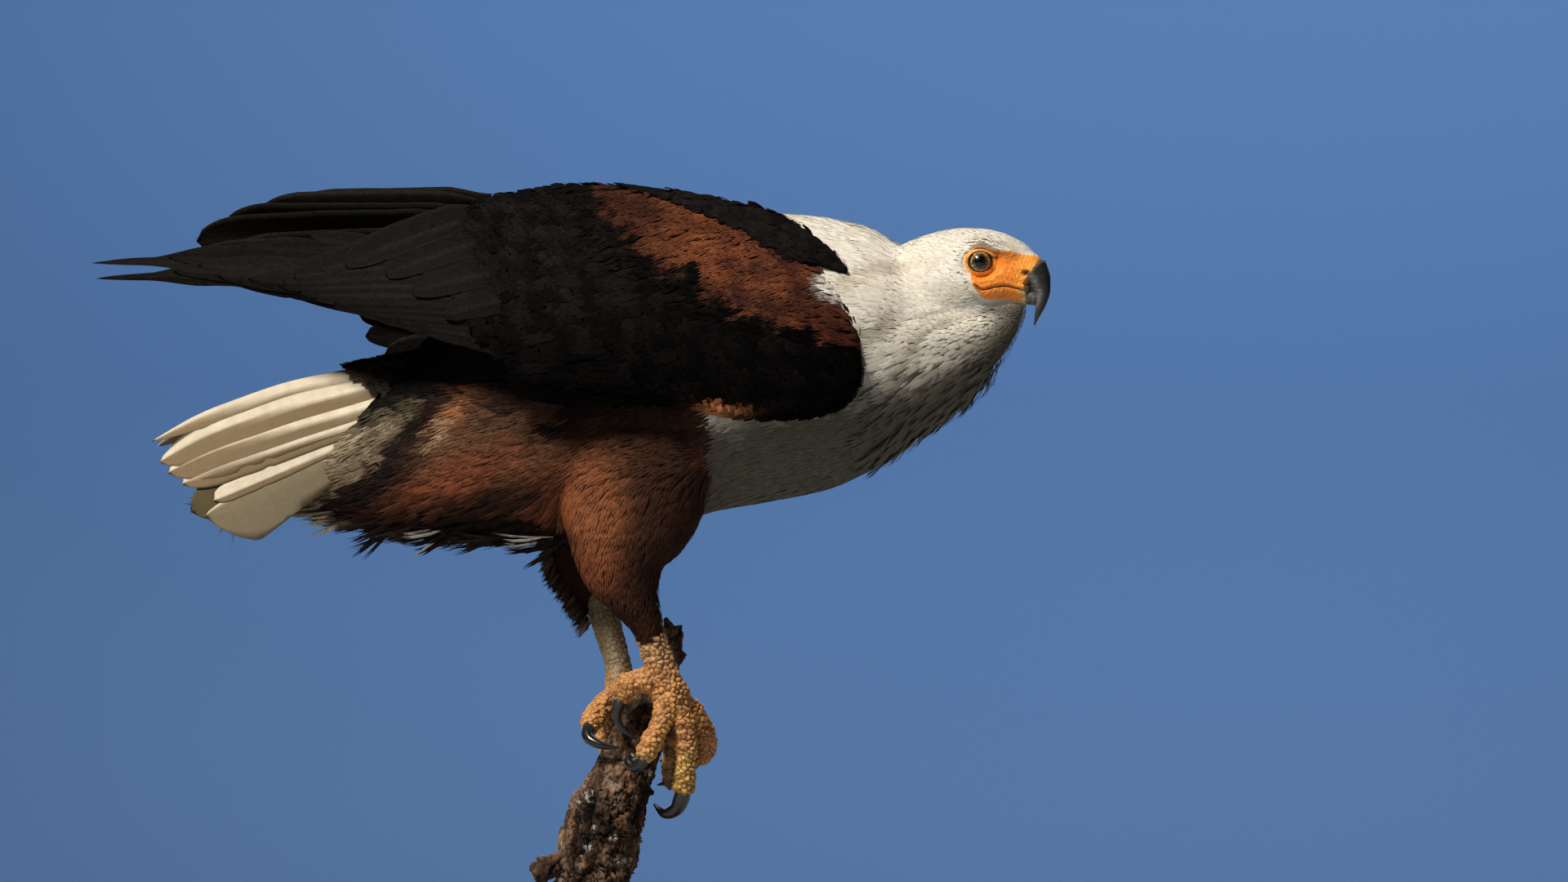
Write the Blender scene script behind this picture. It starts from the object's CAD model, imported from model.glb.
"""Plumage, skin, eyes, horn, bark and stand of the life-size African fish eagle, around its solids.

Tables are in millimetres in the model's own frame: +X is the way the bird faces, +Y its left side.
Meshes are made in metres. Each feather is a small mesh vane that follows the surface it grows on.
"""

import math

import bmesh
import bpy
import numpy as np
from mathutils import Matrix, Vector
from mathutils.bvhtree import BVHTree
from mathutils.geometry import delaunay_2d_cdt
from mathutils.kdtree import KDTree


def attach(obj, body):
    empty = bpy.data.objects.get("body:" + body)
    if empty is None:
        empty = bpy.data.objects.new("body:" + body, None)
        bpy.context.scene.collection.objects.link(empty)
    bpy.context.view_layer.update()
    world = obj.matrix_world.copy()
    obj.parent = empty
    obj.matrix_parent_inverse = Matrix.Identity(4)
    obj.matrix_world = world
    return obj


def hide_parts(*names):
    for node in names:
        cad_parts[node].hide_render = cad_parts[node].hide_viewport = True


MM = 0.001
RIGHT, LEFT = -1, 1  # the sign of Y on each side of the bird
SIDES = {RIGHT: "right", LEFT: "left"}
BODY = "root"

# --- the head's frame: forward, sideways, height ---

HEAD_PIVOT = (215.0, 0.0)
HEAD_YAW = math.radians(-25)
YAW_COS, YAW_SIN = math.cos(HEAD_YAW), math.sin(HEAD_YAW)
EYE_CENTRE = (72.6, 21.6, 549.6)
EYE_RADIUS, EYE_DEPTH = 9.4, 7.0
EYE_FORWARD = math.radians(25)  # how far the line of sight is turned forward from sideways
FACE_START, FACE_FLOOR = 50, 500  # the bare face lies ahead of the one and above the other
LID_OPENING = (8.5, 7.3)  # half width and half height of the opening between the lids
CERE_FACE = (110.2, math.radians(36))  # where the horn starts on the midline, and its lean
NOSTRIL = (104.6, 541.2)  # forward, height
# The edge of the bare face as forward and height, taken round it.
BARE_FACE = [(62.5, 549.8), (63.8, 556.5), (73.7, 561.0), (83, 557.6), (95.9, 557.4), (99.4, 555),
             (104.9, 554.6), (116, 556), (116, 519), (98, 521.6), (86.5, 522), (76.6, 522.6),
             (72.4, 525.7), (70.4, 529.5), (69.4, 533.6), (68.4, 538.2), (66.1, 542.8)]
MOUTH_LINE = [(71, 532.4), (74, 529.7), (84, 531), (91, 531.8), (97, 530.4), (103, 528.5), (109, 526.5)]

# The bill: forward, height, half width, and half height square to its line.
BILL_UPPER = [(100, 546.5, 12.8, 16), (106.3, 542.2, 11, 11.6), (109.7, 538.5, 9.3, 8.5),
              (111.6, 533.6, 7.2, 6.9), (112.9, 528.2, 5.0, 5.4), (112.1, 522.8, 3.8, 4.5),
              (110.5, 516.4, 2.7, 3.2), (108.3, 510.4, 1.5, 1.7), (106.3, 504.1, 0.5, 0.5)]
BILL_LOWER = [(91, 524.5, 9, 4.6), (97, 525, 8.2, 4.8), (103, 524.2, 6.8, 4.9), (107.5, 523.6, 5.2, 4.9),
              (111, 523.0, 3.2, 3.6)]

# --- the wings, seen from the side ---

# X, the height of the upper and lower edge, and the outward distance at each.
WING_SKIN = [(-385, 556, 538, 27, 32), (-300, 562, 538, 30, 40), (-240, 568, 530, 33, 52),
             (-200, 578, 512, 35, 66), (-150, 590, 494, 36, 80), (-100, 600, 482, 37, 91),
             (-50, 609, 455, 38, 97), (0, 612, 447, 38, 100), (50, 605, 443, 38, 101),
             (100, 592, 433, 42, 100), (150, 568, 433, 50, 94), (174, 536, 436, 55, 84),
             (192, 518, 440, 58, 66)]
WING_TUCK = (0.78, 9.0)  # how far down the wing turns in, and by how much at its edge
WING_LIFT = 40.0  # how much higher the rear of the left wing is held
ARM_FRONT = [(-95, 599), (-57, 607), (-18, 611.5), (9, 610), (35, 605.5), (64, 599), (94, 590),
             (121, 577), (150, 555), (171, 531), (183, 507), (188.5, 480), (186, 458), (175, 444),
             (155, 436), (125, 433), (95, 433)]
ARM_LOWER = [(95, 433), (51, 444), (5, 446), (-27, 448), (-56, 452)]
COVERT_LINE = [(-56, 452), (-74, 474), (-96, 497), (-113, 524), (-119, 552), (-113, 578), (-95, 599)]
SCAPULARS = [(0, 610.5), (33, 606.3), (63, 601.6), (93, 595), (123, 586), (150, 570.5), (163, 560),
             (176, 541), (153, 546.5), (129, 552.5), (102, 570.5), (69, 585.5), (45, 596), (15, 605)]
RUFOUS_BAND = [(-18, 606), (10, 607), (51, 601), (93, 583), (129, 554), (153, 537), (166, 520),
               (186, 486), (157, 491), (135, 501), (101, 505), (71, 519), (59, 540), (23, 548),
               (10, 565), (-7, 589)]

# --- the tail ---

TAIL_MIDDLE = [(-0.1, -95, 494), (0, -118, 489), (0.33, -192, 475), (0.55, -240, 464.5),
               (0.68, -268, 455), (0.83, -301, 442), (1, -336, 422)]
TAIL_OUTER = [(-0.1, -105, 470), (0, -122, 460), (0.5, -206, 411), (0.8, -257, 380), (1, -291, 361)]
TAIL_HALF_WIDTH = [(-0.1, 16), (0, 20), (0.5, 34), (1, 47)]
TAIL_ARCH = math.radians(75)
TAIL_ROLL = math.radians(12)

# --- the feet ---

# The line of each toe, then of its claw: X, Y, Z, radius.
TOES = {
    RIGHT: {
        "hind": ([(42, -30, 240, 9), (28, -33, 246, 8.5), (17, -32, 243, 8), (11, -29, 235, 6.5)],
                 [(9, -28, 230, 4.6), (7, -27, 220, 3.4), (12, -27, 210, 2.3), (22, -25.5, 203, 0.5)]),
        "inner": ([(45, -33, 232, 10), (41, -38, 218, 7.5), (34, -40, 203, 7), (28, -38, 191, 6.5)],
                  [(25, -37.5, 186, 4.6), (20.5, -36.5, 182.5, 4.2), (16, -33, 187, 3.2),
                   (17, -30, 195, 0.6)]),
        "middle": ([(48, -31, 232, 10.5), (55, -32, 216, 8), (58, -30, 196, 7.2), (57, -25, 178, 7),
                    (56, -20, 167, 7.4)],
                   [(54.5, -18, 161, 6), (50.5, -15, 153, 5.2), (42.5, -12, 149.5, 3.9),
                    (34, -9, 156.5, 0.7)]),
        "outer": ([(50, -27, 232, 10), (61, -18, 223, 8.5), (70, -7, 209, 7.8), (72, 5, 199, 7.2),
                   (66, 14, 191, 6.6)],
                  [(62.5, 17, 187, 4.8), (55, 21, 180, 4.2), (46, 22, 174, 3), (36, 19, 171, 0.6)]),
    },
    LEFT: {
        "hind": ([(10, 26, 238, 9), (24, 30, 232, 8), (37, 30, 224, 7.4), (45, 25, 215, 6.6)],
                 [(47, 23, 210, 4.8), (49, 20, 201, 4.2), (45, 17, 193, 3), (38, 15.5, 188, 0.6)]),
        "inner": ([(6, 22, 236, 9.5), (-4, 12, 229, 8), (-10, 0, 220, 7.5), (-13, -9, 214, 6.8)],
                  [(-14, -13, 211, 4.8), (-13, -20, 204, 4.2), (-4, -24.5, 199, 3), (9, -25.5, 197, 0.6)]),
        "middle": ([(7, 27, 236, 10), (0, 33, 222, 8.2), (-1, 36, 206, 7.4), (2, 35, 189, 7),
                    (4, 31, 177, 6.4)],
                   [(4.5, 30, 172, 4.8), (3.5, 28.5, 164, 4.2), (-1, 27, 157, 3), (-7, 24.5, 153.5, 0.6)]),
        "outer": ([(10, 30, 234, 10), (16, 38, 218, 8), (20, 40, 202, 7.4), (19, 37, 187, 6.6)],
                  [(19.3, 35.5, 182, 4.8), (19.8, 32.5, 174, 4.2), (18, 28.5, 168.5, 3),
                   (14, 24.5, 166, 0.6)]),
    },
}
# What shows of a foot from below, as one more toe.
SOLES = {RIGHT: [[(52, -27, 210, 6), (49, -19, 196, 7), (48, -14, 182, 7.5), (48, -12.5, 171, 6)]], LEFT: []}
# The middle of each leg: X, Y, Z.
THIGH_LINE = {
    RIGHT: [(22, -38, 420), (15, -43, 355), (12, -43, 327), (19, -42, 303), (28, -40, 284), (32, -38, 265)],
    LEFT: [(5, 38, 420), (-12, 43, 355), (-17, 42, 330), (-14, 40, 306), (-6, 37, 290), (2, 36, 275)],
}
ANKLE = {RIGHT: 270.0, LEFT: 287.0}  # the height at which each leg's feathers end

# --- colours ---

WHITE = (0.82, 0.775, 0.69)
CREAM = (0.62, 0.540, 0.415)
CHESTNUT = (0.150, 0.049, 0.024)
RUFOUS = (0.190, 0.060, 0.026)
BROWN = (0.060, 0.027, 0.017)
BLACK = (0.0052, 0.0045, 0.0044)
TAN = (0.45, 0.38, 0.27)
ORANGE = (1.0, 0.285, 0.030)
LEG_YELLOW = (0.72, 0.34, 0.095)


# --- small maths ---


def along(table, key):
    """The values of a table at each key, on a smooth curve through its rows. A row starts with its key."""
    rows = np.array(sorted(table), float)
    keys, values = rows[:, 0], rows[:, 1:]
    slopes = np.gradient(values, keys, axis=0)
    key = np.clip(np.atleast_1d(np.asarray(key, float)), keys[0], keys[-1])
    i = np.clip(np.searchsorted(keys, key) - 1, 0, len(keys) - 2)
    step = (keys[i + 1] - keys[i])[..., None]
    t = (key - keys[i])[..., None] / step
    return (values[i] * (1 + 2 * t) * (1 - t) ** 2 + slopes[i] * step * t * (1 - t) ** 2
            + values[i + 1] * t * t * (3 - 2 * t) + slopes[i + 1] * step * t * t * (t - 1))


def curve(points, count):
    """count points on a smooth curve through the given ones, evenly spaced along it."""
    points = np.asarray(points, float)
    reach = np.r_[0, np.cumsum(np.linalg.norm(np.diff(points[:, :3], axis=0), axis=1))]
    table = [(r, *p) for r, p in zip(reach, points)]
    return along(table, np.linspace(0, reach[-1], count))


def held(value):
    """The value, held between 0 and 1."""
    return np.clip(value, 0, 1)


def smooth(low, high, value):
    """0 below low, 1 above high, and a smooth step between them."""
    t = held((np.asarray(value, float) - low) / (high - low))
    return t * t * (3 - 2 * t)


def bell(offset, width):
    """1 at no offset, falling smoothly to either side."""
    return np.exp(-((offset / width) ** 2))


def unit(vectors):
    return vectors / np.maximum(np.linalg.norm(vectors, axis=-1, keepdims=True), 1e-9)


def mixed(first, second, share):
    """A colour, or one for each share, between two."""
    share = np.asarray(share, float)[..., None]
    return np.asarray(first, float) * (1 - share) + np.asarray(second, float) * share


def ripple(points, size, seed, stretch=(1, 1, 1)):
    """Smooth noise of about -1 to 1, whose lumps are `size` across, drawn out by `stretch`."""
    rough = np.random.default_rng(seed)
    total = np.zeros(len(points))
    scaled = points / (np.asarray(stretch, float) * size)
    for _ in range(8):
        way = rough.normal(size=3)
        way *= rough.uniform(0.7, 1.6) / np.linalg.norm(way)
        total += np.sin(scaled @ way * 2 * math.pi + rough.uniform(0, 2 * math.pi))
    return np.clip(total / 3.2, -1, 1)


def edge_distance(points, outline, closed=True):
    """How far each point of a plane is from an outline."""
    outline = np.asarray(outline, float)
    starts, ends = (outline, np.roll(outline, -1, axis=0)) if closed else (outline[:-1], outline[1:])
    best = np.full(len(points), np.inf)
    for a, b in zip(starts, ends):
        span = b - a
        t = held((points - a) @ span / max(span @ span, 1e-9))
        best = np.minimum(best, np.linalg.norm(points - a - t[:, None] * span, axis=1))
    return best


def inside(points, outline):
    """Which points of a plane lie inside an outline."""
    outline = np.asarray(outline, float)
    x, y = points[:, 0], points[:, 1]
    found = np.zeros(len(points), bool)
    for (x0, y0), (x1, y1) in zip(outline, np.roll(outline, -1, axis=0)):
        crosses = (y0 > y) != (y1 > y)
        found ^= crosses & (x < (x1 - x0) * (y - y0) / (y1 - y0 + 1e-12) + x0)
    return found


def depth_in(points, outline):
    """How far inside an outline each point is; below 0 outside."""
    distance = edge_distance(points, outline)
    return np.where(inside(points, outline), distance, -distance)


# --- making meshes ---


def new_object(name, data):
    """An object in the scene, from its mesh, lamp or camera."""
    obj = bpy.data.objects.new(name, data)
    bpy.context.scene.collection.objects.link(obj)
    return obj


def triangle_mesh(name, points, triangles):
    """A mesh from arrays of points in millimetres and of triangles."""
    mesh = bpy.data.meshes.new(name)
    mesh.vertices.add(len(points))
    mesh.vertices.foreach_set("co", (np.asarray(points, np.float32) * MM).ravel())
    mesh.loops.add(len(triangles) * 3)
    mesh.loops.foreach_set("vertex_index", np.asarray(triangles, np.int32).ravel())
    mesh.polygons.add(len(triangles))
    mesh.polygons.foreach_set("loop_start", np.arange(len(triangles), dtype=np.int32) * 3)
    mesh.update(calc_edges=True)
    mesh.shade_smooth()
    return mesh


def points_of(mesh):
    """A mesh's points, in millimetres."""
    flat = np.zeros(len(mesh.vertices) * 3, np.float32)
    mesh.vertices.foreach_get("co", flat)
    return flat.reshape(-1, 3).astype(float) / MM


def set_points(mesh, points):
    mesh.vertices.foreach_set("co", (np.asarray(points, np.float32) * MM).ravel())
    mesh.update()


def normals_of(mesh):
    flat = np.zeros(len(mesh.vertices) * 3, np.float32)
    mesh.vertices.foreach_get("normal", flat)
    return flat.reshape(-1, 3).astype(float)


def paint(mesh, colours):
    """Gives each point of a mesh its own colour."""
    layer = mesh.color_attributes.new("coat", "FLOAT_COLOR", "POINT")
    rgba = np.ones((len(mesh.vertices), 4), np.float32)
    rgba[:, :3] = held(colours)
    layer.data.foreach_set("color", rgba.ravel())


def corners_of(mesh):
    """The point that each corner of a mesh's faces lies on."""
    corner = np.zeros(len(mesh.loops), np.int32)
    mesh.loops.foreach_get("vertex_index", corner)
    return corner


def set_uv(mesh, name, uv_of_points):
    """A UV map from one pair of numbers for each point."""
    layer = mesh.uv_layers.new(name=name)
    layer.data.foreach_set("uv", np.asarray(uv_of_points, np.float32)[corners_of(mesh)].ravel())


def joined(name, meshes):
    """One mesh of several."""
    bm = bmesh.new()
    for mesh in meshes:
        bm.from_mesh(mesh)
    whole = bpy.data.meshes.new(name)
    bm.to_mesh(whole)
    bm.free()
    return whole


def faced_out(mesh):
    """The mesh with all its faces turned outward."""
    bm = bmesh.new()
    bm.from_mesh(mesh)
    bmesh.ops.recalc_face_normals(bm, faces=bm.faces)
    bm.to_mesh(mesh)
    bm.free()
    return mesh


def remeshed(meshes, voxel, smoothing):
    """One closed surface round several meshes."""
    obj = new_object("remesh_work", joined("whole", meshes))
    remesh = obj.modifiers.new("remesh", "REMESH")
    remesh.mode, remesh.voxel_size, remesh.use_smooth_shade = "VOXEL", voxel * MM, True
    smoother = obj.modifiers.new("smooth", "SMOOTH")
    smoother.factor, smoother.iterations = 0.5, smoothing
    bpy.context.view_layer.update()
    graph = bpy.context.evaluated_depsgraph_get()
    mesh = bpy.data.meshes.new_from_object(obj.evaluated_get(graph))
    bpy.data.objects.remove(obj)
    return mesh


def tube_rings(rows, sides, count, across=(0, 1, 0)):
    """Rings square to a smooth path. A row is X, Y, Z, then one radius, or the radius in the path's own
    plane and the one along `across`."""
    path = curve(rows, count)
    turn = np.linspace(0, 2 * math.pi, sides, endpoint=False)
    side, rings = Vector(across), []
    for row, ahead in zip(path, np.gradient(path[:, :3], axis=0)):
        ahead = Vector(ahead).normalized()
        side = (side - ahead * side.dot(ahead)).normalized()
        up = ahead.cross(side)
        rings.append([Vector(row[:3]) + up * row[3] * math.cos(a) + side * row[-1] * math.sin(a)
                      for a in turn])
    return np.array(rings)


def lofted(name, rings):
    """A closed mesh through rings of points, each end closed on the middle of its ring."""
    rings = np.asarray(rings, float)
    count, sides = rings.shape[:2]
    points = np.vstack([rings.reshape(-1, 3), rings[0].mean(0), rings[-1].mean(0)])
    i, j = np.meshgrid(np.arange(count - 1), np.arange(sides), indexing="ij")
    a, b = i * sides + j, i * sides + (j + 1) % sides
    quads = np.stack([a, b, b + sides, a + sides], -1).reshape(-1, 4)
    triangles = np.vstack([quads[:, [0, 1, 2]], quads[:, [0, 2, 3]]])
    j = np.arange(sides)
    k = (j + 1) % sides
    first, last = np.full(sides, count * sides), np.full(sides, count * sides + 1)
    ends = np.vstack([np.stack([first, k, j], 1),
                      np.stack([last, (count - 1) * sides + j, (count - 1) * sides + k], 1)])
    return faced_out(triangle_mesh(name, points, np.vstack([triangles, ends])))


def show(name, mesh, materials, slot, nodes=(), colour=None, bake=None):
    """One visible piece of the bird, its perch or its stand, painted if it has a colour for each point and
    unwrapped if it has a place for each on the map OFBake."""
    if colour is not None:
        paint(mesh, colour)
    if bake is not None:
        set_uv(mesh, "OFBake", bake)
    mesh.materials.clear()
    for material in materials:
        mesh.materials.append(MATERIALS[material])
    obj = new_object(name, mesh)
    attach(obj, BODY)
    if nodes:
        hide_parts(*nodes)


# --- materials ---


class Shader:
    """A Principled material, with short ways to add and join nodes."""

    def __init__(self, name, **settings):
        self.material = bpy.data.materials.new(name)
        self.material.use_nodes = True
        self.tree = self.material.node_tree
        self.base = self.tree.nodes["Principled BSDF"]
        for key, value in settings.items():
            self.base.inputs[key.replace("_", " ")].default_value = value

    def add(self, kind, inputs=None, **settings):
        node = self.tree.nodes.new("ShaderNode" + kind)
        for key, value in settings.items():
            setattr(node, key, value)
        for key, value in (inputs or {}).items():
            self.put(node.inputs[key], value)
        return node

    def put(self, socket, value):
        if isinstance(value, bpy.types.NodeSocket):
            self.tree.links.new(value, socket)
        else:
            socket.default_value = value

    def math(self, operation, a, b=0.0, c=0.0):
        return self.add("Math", {0: a, 1: b, 2: c}, operation=operation).outputs[0]

    def noise(self, scale, detail, where, rough=0.55):
        inputs = {"Scale": scale, "Detail": detail, "Roughness": rough, "Vector": where}
        return self.add("TexNoise", inputs).outputs["Fac"]

    def voronoi(self, scale, where):
        return self.add("TexVoronoi", {"Scale": scale, "Vector": where}).outputs["Distance"]

    def place(self, scale=(1, 1, 1)):
        """The point in the model's own space, stretched."""
        here = self.add("TexCoord").outputs["Object"]
        return self.add("Mapping", {"Vector": here, "Scale": scale}).outputs[0]

    def ramp(self, value, *stops):
        node = self.add("ValToRGB", {"Fac": value})
        ramp = node.color_ramp
        while len(ramp.elements) < len(stops):
            ramp.elements.new(0.5)
        for element, (position, colour) in zip(ramp.elements, stops):
            element.position, element.color = position, (*colour, 1)
        return node.outputs["Color"]

    def grey(self, value, *stops):
        """A ramp of single numbers."""
        return self.ramp(value, *[(position, (g, g, g)) for position, g in stops])

    def mix(self, factor, a, b, blend="MIX"):
        node = self.add("Mix", data_type="RGBA", blend_type=blend)
        self.put(node.inputs[0], factor)
        for place, colour in ((6, a), (7, b)):
            self.put(node.inputs[place], colour if isinstance(colour, bpy.types.NodeSocket) else (*colour, 1))
        return node.outputs[2]

    def times(self, a, b, factor=1.0):
        return self.mix(factor, a, b, "MULTIPLY")

    def painted(self):
        """The colour that each point of the piece was given."""
        return self.add("Attribute", attribute_name="coat").outputs["Color"]

    def colour(self, value):
        self.put(self.base.inputs["Base Color"], value)

    def rough(self, value):
        self.put(self.base.inputs["Roughness"], value)

    def bump(self, height, strength, distance):
        node = self.add("Bump", {"Height": height, "Strength": strength, "Distance": distance})
        self.put(self.base.inputs["Normal"], node.outputs[0])


def plumage_material(name, roughness, sheen, specular, barb_strength, strand_strength):
    """Feather vanes: each point's own colour, crossed by fine barbs that slant off the shaft, and by
    soft strands that run along it."""
    shader = Shader(name, Roughness=roughness, Sheen_Weight=sheen, Sheen_Roughness=0.5,
                    Specular_IOR_Level=specular)
    vane = shader.add("UVMap", uv_map="Vane").outputs[0]
    split = shader.add("SeparateXYZ", {0: vane}).outputs
    slant = shader.math("SUBTRACT", split[1], shader.math("MULTIPLY", shader.math("ABSOLUTE", split[0]), 0.9))
    wobble = shader.math("MULTIPLY", shader.noise(220.0, 2.0, shader.place()), 0.9)
    barbs = shader.math("SINE", shader.math("MULTIPLY", shader.math("ADD", slant, wobble), 3.2))
    barbs = shader.math("MULTIPLY_ADD", barbs, 0.5, 0.5)
    shift = shader.math("MULTIPLY", shader.noise(60.0, 1.0, shader.place()), 30.0)
    run = shader.add("CombineXYZ", {0: shader.math("MULTIPLY_ADD", split[0], 1.0, shift),
                                    1: shader.math("MULTIPLY", slant, 0.13), 2: shift}).outputs[0]
    strands = shader.noise(0.85, 3.0, run, 0.65)
    tone = shader.grey(strands, (0.32, 1 - strand_strength), (0.68, 1 + 0.55 * strand_strength))
    tone = shader.times(tone, shader.grey(barbs, (0.0, 0.62), (1.0, 1.1)), barb_strength)
    shader.colour(shader.times(shader.painted(), tone))
    shader.bump(shader.math("MULTIPLY_ADD", barbs, 0.35, strands), 0.5 * strand_strength, 0.00025)
    return shader.material


def under_coat_material():
    """The skin under the feathers: its painted colour in fine streaks."""
    shader = Shader("under_coat", Roughness=0.9, Specular_IOR_Level=0.1)
    streak = shader.noise(400.0, 3.0, shader.place())
    shader.colour(shader.times(shader.painted(), shader.grey(streak, (0.2, 0.75), (0.8, 1.0))))
    return shader.material


def bare_skin_material(name, pebble, roughness):
    """Bare face or leg skin: its painted colour, mottled, with fine pebbles in the bump."""
    shader = Shader(name, Roughness=roughness, Subsurface_Weight=0.12, Subsurface_Scale=0.002,
                    Specular_IOR_Level=0.4)
    shader.base.inputs["Subsurface Radius"].default_value = (1.0, 0.4, 0.15)
    cells = shader.voronoi(pebble, shader.place())
    mottle = shader.noise(260.0, 5.0, shader.place())
    tone = shader.times(shader.grey(mottle, (0.3, 0.85), (0.7, 1.18)),
                        shader.grey(cells, (0.0, 1.1), (0.7, 0.80)), 0.5)
    shader.colour(shader.times(shader.painted(), tone))
    height = shader.math("SUBTRACT", shader.math("MULTIPLY", mottle, 0.6), cells)
    shader.bump(height, 0.5, 0.0006)
    return shader.material


def horn_material(name, roughness, polish):
    """Bill and claws: the painted colour with faint growth lines, under a thin polish."""
    shader = Shader(name, Roughness=roughness, Coat_Weight=polish, Coat_Roughness=0.2)
    grain = shader.noise(300.0, 5.0, shader.place((0.5, 0.5, 1.6)))
    shader.colour(shader.times(shader.painted(), shader.grey(grain, (0.3, 0.7), (0.72, 1.25))))
    shader.rough(shader.grey(grain, (0.2, roughness * 0.8), (0.8, roughness * 1.5)))
    shader.bump(grain, 0.25, 0.0003)
    return shader.material


def eye_material():
    """Pupil, iris and dark rim by distance from the line of sight, under a wet clear coat."""
    shader = Shader("eye_wet", Roughness=0.35, Coat_Weight=0.8, Coat_Roughness=0.015,
                    Specular_IOR_Level=0.1)
    ring = shader.add("Attribute", attribute_name="ring").outputs["Fac"]
    fleck = shader.noise(1500.0, 3.0, shader.place(), 0.7)
    iris = shader.ramp(fleck, (0.40, (0.010, 0.005, 0.003)), (0.50, (0.110, 0.050, 0.016)),
                       (0.58, (0.85, 0.58, 0.24)))
    rim = shader.grey(ring, (0.0, 0), (0.40, 0), (0.46, 0.16), (0.60, 0.30), (0.68, 1), (0.75, 0.9),
                      (0.80, 0))
    shader.colour(shader.times(iris, rim))
    return shader.material


def bark_material():
    """Weathered bark: dark fissures, brown ridges and pale grey lichen on the proud parts."""
    shader = Shader("bark", Roughness=0.92, Specular_IOR_Level=0.15)
    grain = shader.noise(55.0, 10.0, shader.place((1, 1, 0.35)), 0.65)
    flake = shader.voronoi(95.0, shader.place((1, 1, 0.45)))
    wood = shader.ramp(grain, (0.36, (0.006, 0.004, 0.003)), (0.48, (0.075, 0.044, 0.027)),
                       (0.60, (0.30, 0.185, 0.12)), (0.75, (0.46, 0.31, 0.21)))
    patches = shader.noise(85.0, 6.0, shader.place(), 0.6)
    crust = shader.noise(320.0, 4.0, shader.place())
    lichen = shader.math("MULTIPLY", shader.grey(patches, (0.58, 0), (0.66, 1)),
                         shader.grey(crust, (0.46, 0), (0.58, 1)))
    wood = shader.mix(shader.grey(flake, (0.05, 0.55), (0.4, 0.0)), wood, (0.004, 0.003, 0.003))
    wood = shader.times(wood, shader.painted())
    shader.colour(shader.mix(lichen, wood, (0.42, 0.40, 0.36)))
    shader.bump(shader.math("ADD", grain, shader.math("MULTIPLY", crust, 0.35)), 0.9, 0.002)
    return shader.material


def stand_wood_material():
    """Dark polished wood with long pores."""
    shader = Shader("stand_wood", Roughness=0.38, Coat_Weight=0.3, Coat_Roughness=0.15)
    grain = shader.add("TexWave", {"Vector": shader.place((1, 7, 1)), "Scale": 9.0, "Distortion": 9.0,
                                   "Detail": 4.0, "Detail Scale": 1.6}).outputs["Fac"]
    pores = shader.noise(420.0, 3.0, shader.place((0.08, 1, 1)))
    colour = shader.ramp(grain, (0.1, (0.050, 0.024, 0.012)), (0.9, (0.115, 0.058, 0.030)))
    shader.colour(shader.mix(shader.grey(pores, (0.35, 0.8), (0.5, 0.0)), colour, (0.022, 0.011, 0.006)))
    shader.bump(pores, 0.12, 0.0003)
    return shader.material


def steel_material():
    """Brushed steel, its fine lines along the rods."""
    shader = Shader("brushed_steel", Metallic=1.0, Roughness=0.3)
    lines = shader.noise(900.0, 3.0, shader.place((1, 1, 0.04)))
    shader.colour(shader.ramp(lines, (0.3, (0.42, 0.42, 0.43)), (0.7, (0.58, 0.58, 0.59))))
    shader.rough(shader.grey(lines, (0.3, 0.24), (0.7, 0.38)))
    return shader.material


# --- the head's own frame ---


def head_point(forward, sideways, height):
    """A place in the head's frame as X, Y and Z."""
    return Vector((HEAD_PIVOT[0] + forward * YAW_COS - sideways * YAW_SIN,
                   HEAD_PIVOT[1] + forward * YAW_SIN + sideways * YAW_COS, height))


def head_coordinates(points):
    """Points of the model as forward, sideways and height in the head's frame."""
    x, y = points[:, 0] - HEAD_PIVOT[0], points[:, 1] - HEAD_PIVOT[1]
    return np.stack([x * YAW_COS + y * YAW_SIN, -x * YAW_SIN + y * YAW_COS, points[:, 2]], 1)


def from_head(points):
    """Points of the head's frame as X, Y and Z."""
    forward, side, up = points.T
    return np.stack([HEAD_PIVOT[0] + forward * YAW_COS - side * YAW_SIN,
                     HEAD_PIVOT[1] + forward * YAW_SIN + side * YAW_COS, up], 1)


def eye_frame(side):
    """The eye's centre and its axes as rows, all in the head's frame: forward across, up, sight."""
    sight = np.array([math.sin(EYE_FORWARD), side * math.cos(EYE_FORWARD), 0.0])
    across = np.array([math.cos(EYE_FORWARD), -side * math.sin(EYE_FORWARD), 0.0])
    centre = np.array([EYE_CENTRE[0], side * EYE_CENTRE[1], EYE_CENTRE[2]])
    return centre, np.stack([across, (0, 0, 1.0), sight])


def eye_coordinates(h, side):
    """Points of the head's frame as across, up and along the sight of one eye."""
    centre, axes = eye_frame(side)
    return (h - centre) @ axes.T


def on_face(h):
    """Which points of the head's frame are far enough forward and up to be on the face."""
    return (h[:, 0] > FACE_START) & (h[:, 2] > FACE_FLOOR)


def mouth_distance(h):
    """How far points of the head's frame are from the mouth line, seen from the side."""
    return edge_distance(h[:, [0, 2]], curve(MOUTH_LINE, 24), closed=False)


def bareness(points):
    """1 on the bare face, 0 on feathered skin."""
    h = head_coordinates(points)
    face = smooth(-0.8, 0.8, depth_in(h[:, [0, 2]], BARE_FACE) + 1.1 * ripple(points, 3.4, 33))
    for side in SIDES:
        local = eye_coordinates(h, side)
        ring = np.hypot(local[:, 0] / 11.4, local[:, 1] / 10.6)
        near = (local[:, 2] > -8) & (h[:, 0] > FACE_START)
        face = np.maximum(face, np.where(near, smooth(1.05, 0.95, ring), 0))
    return np.where(on_face(h), face, 0.0)


# --- markings, the same for skin and coat ---

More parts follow.
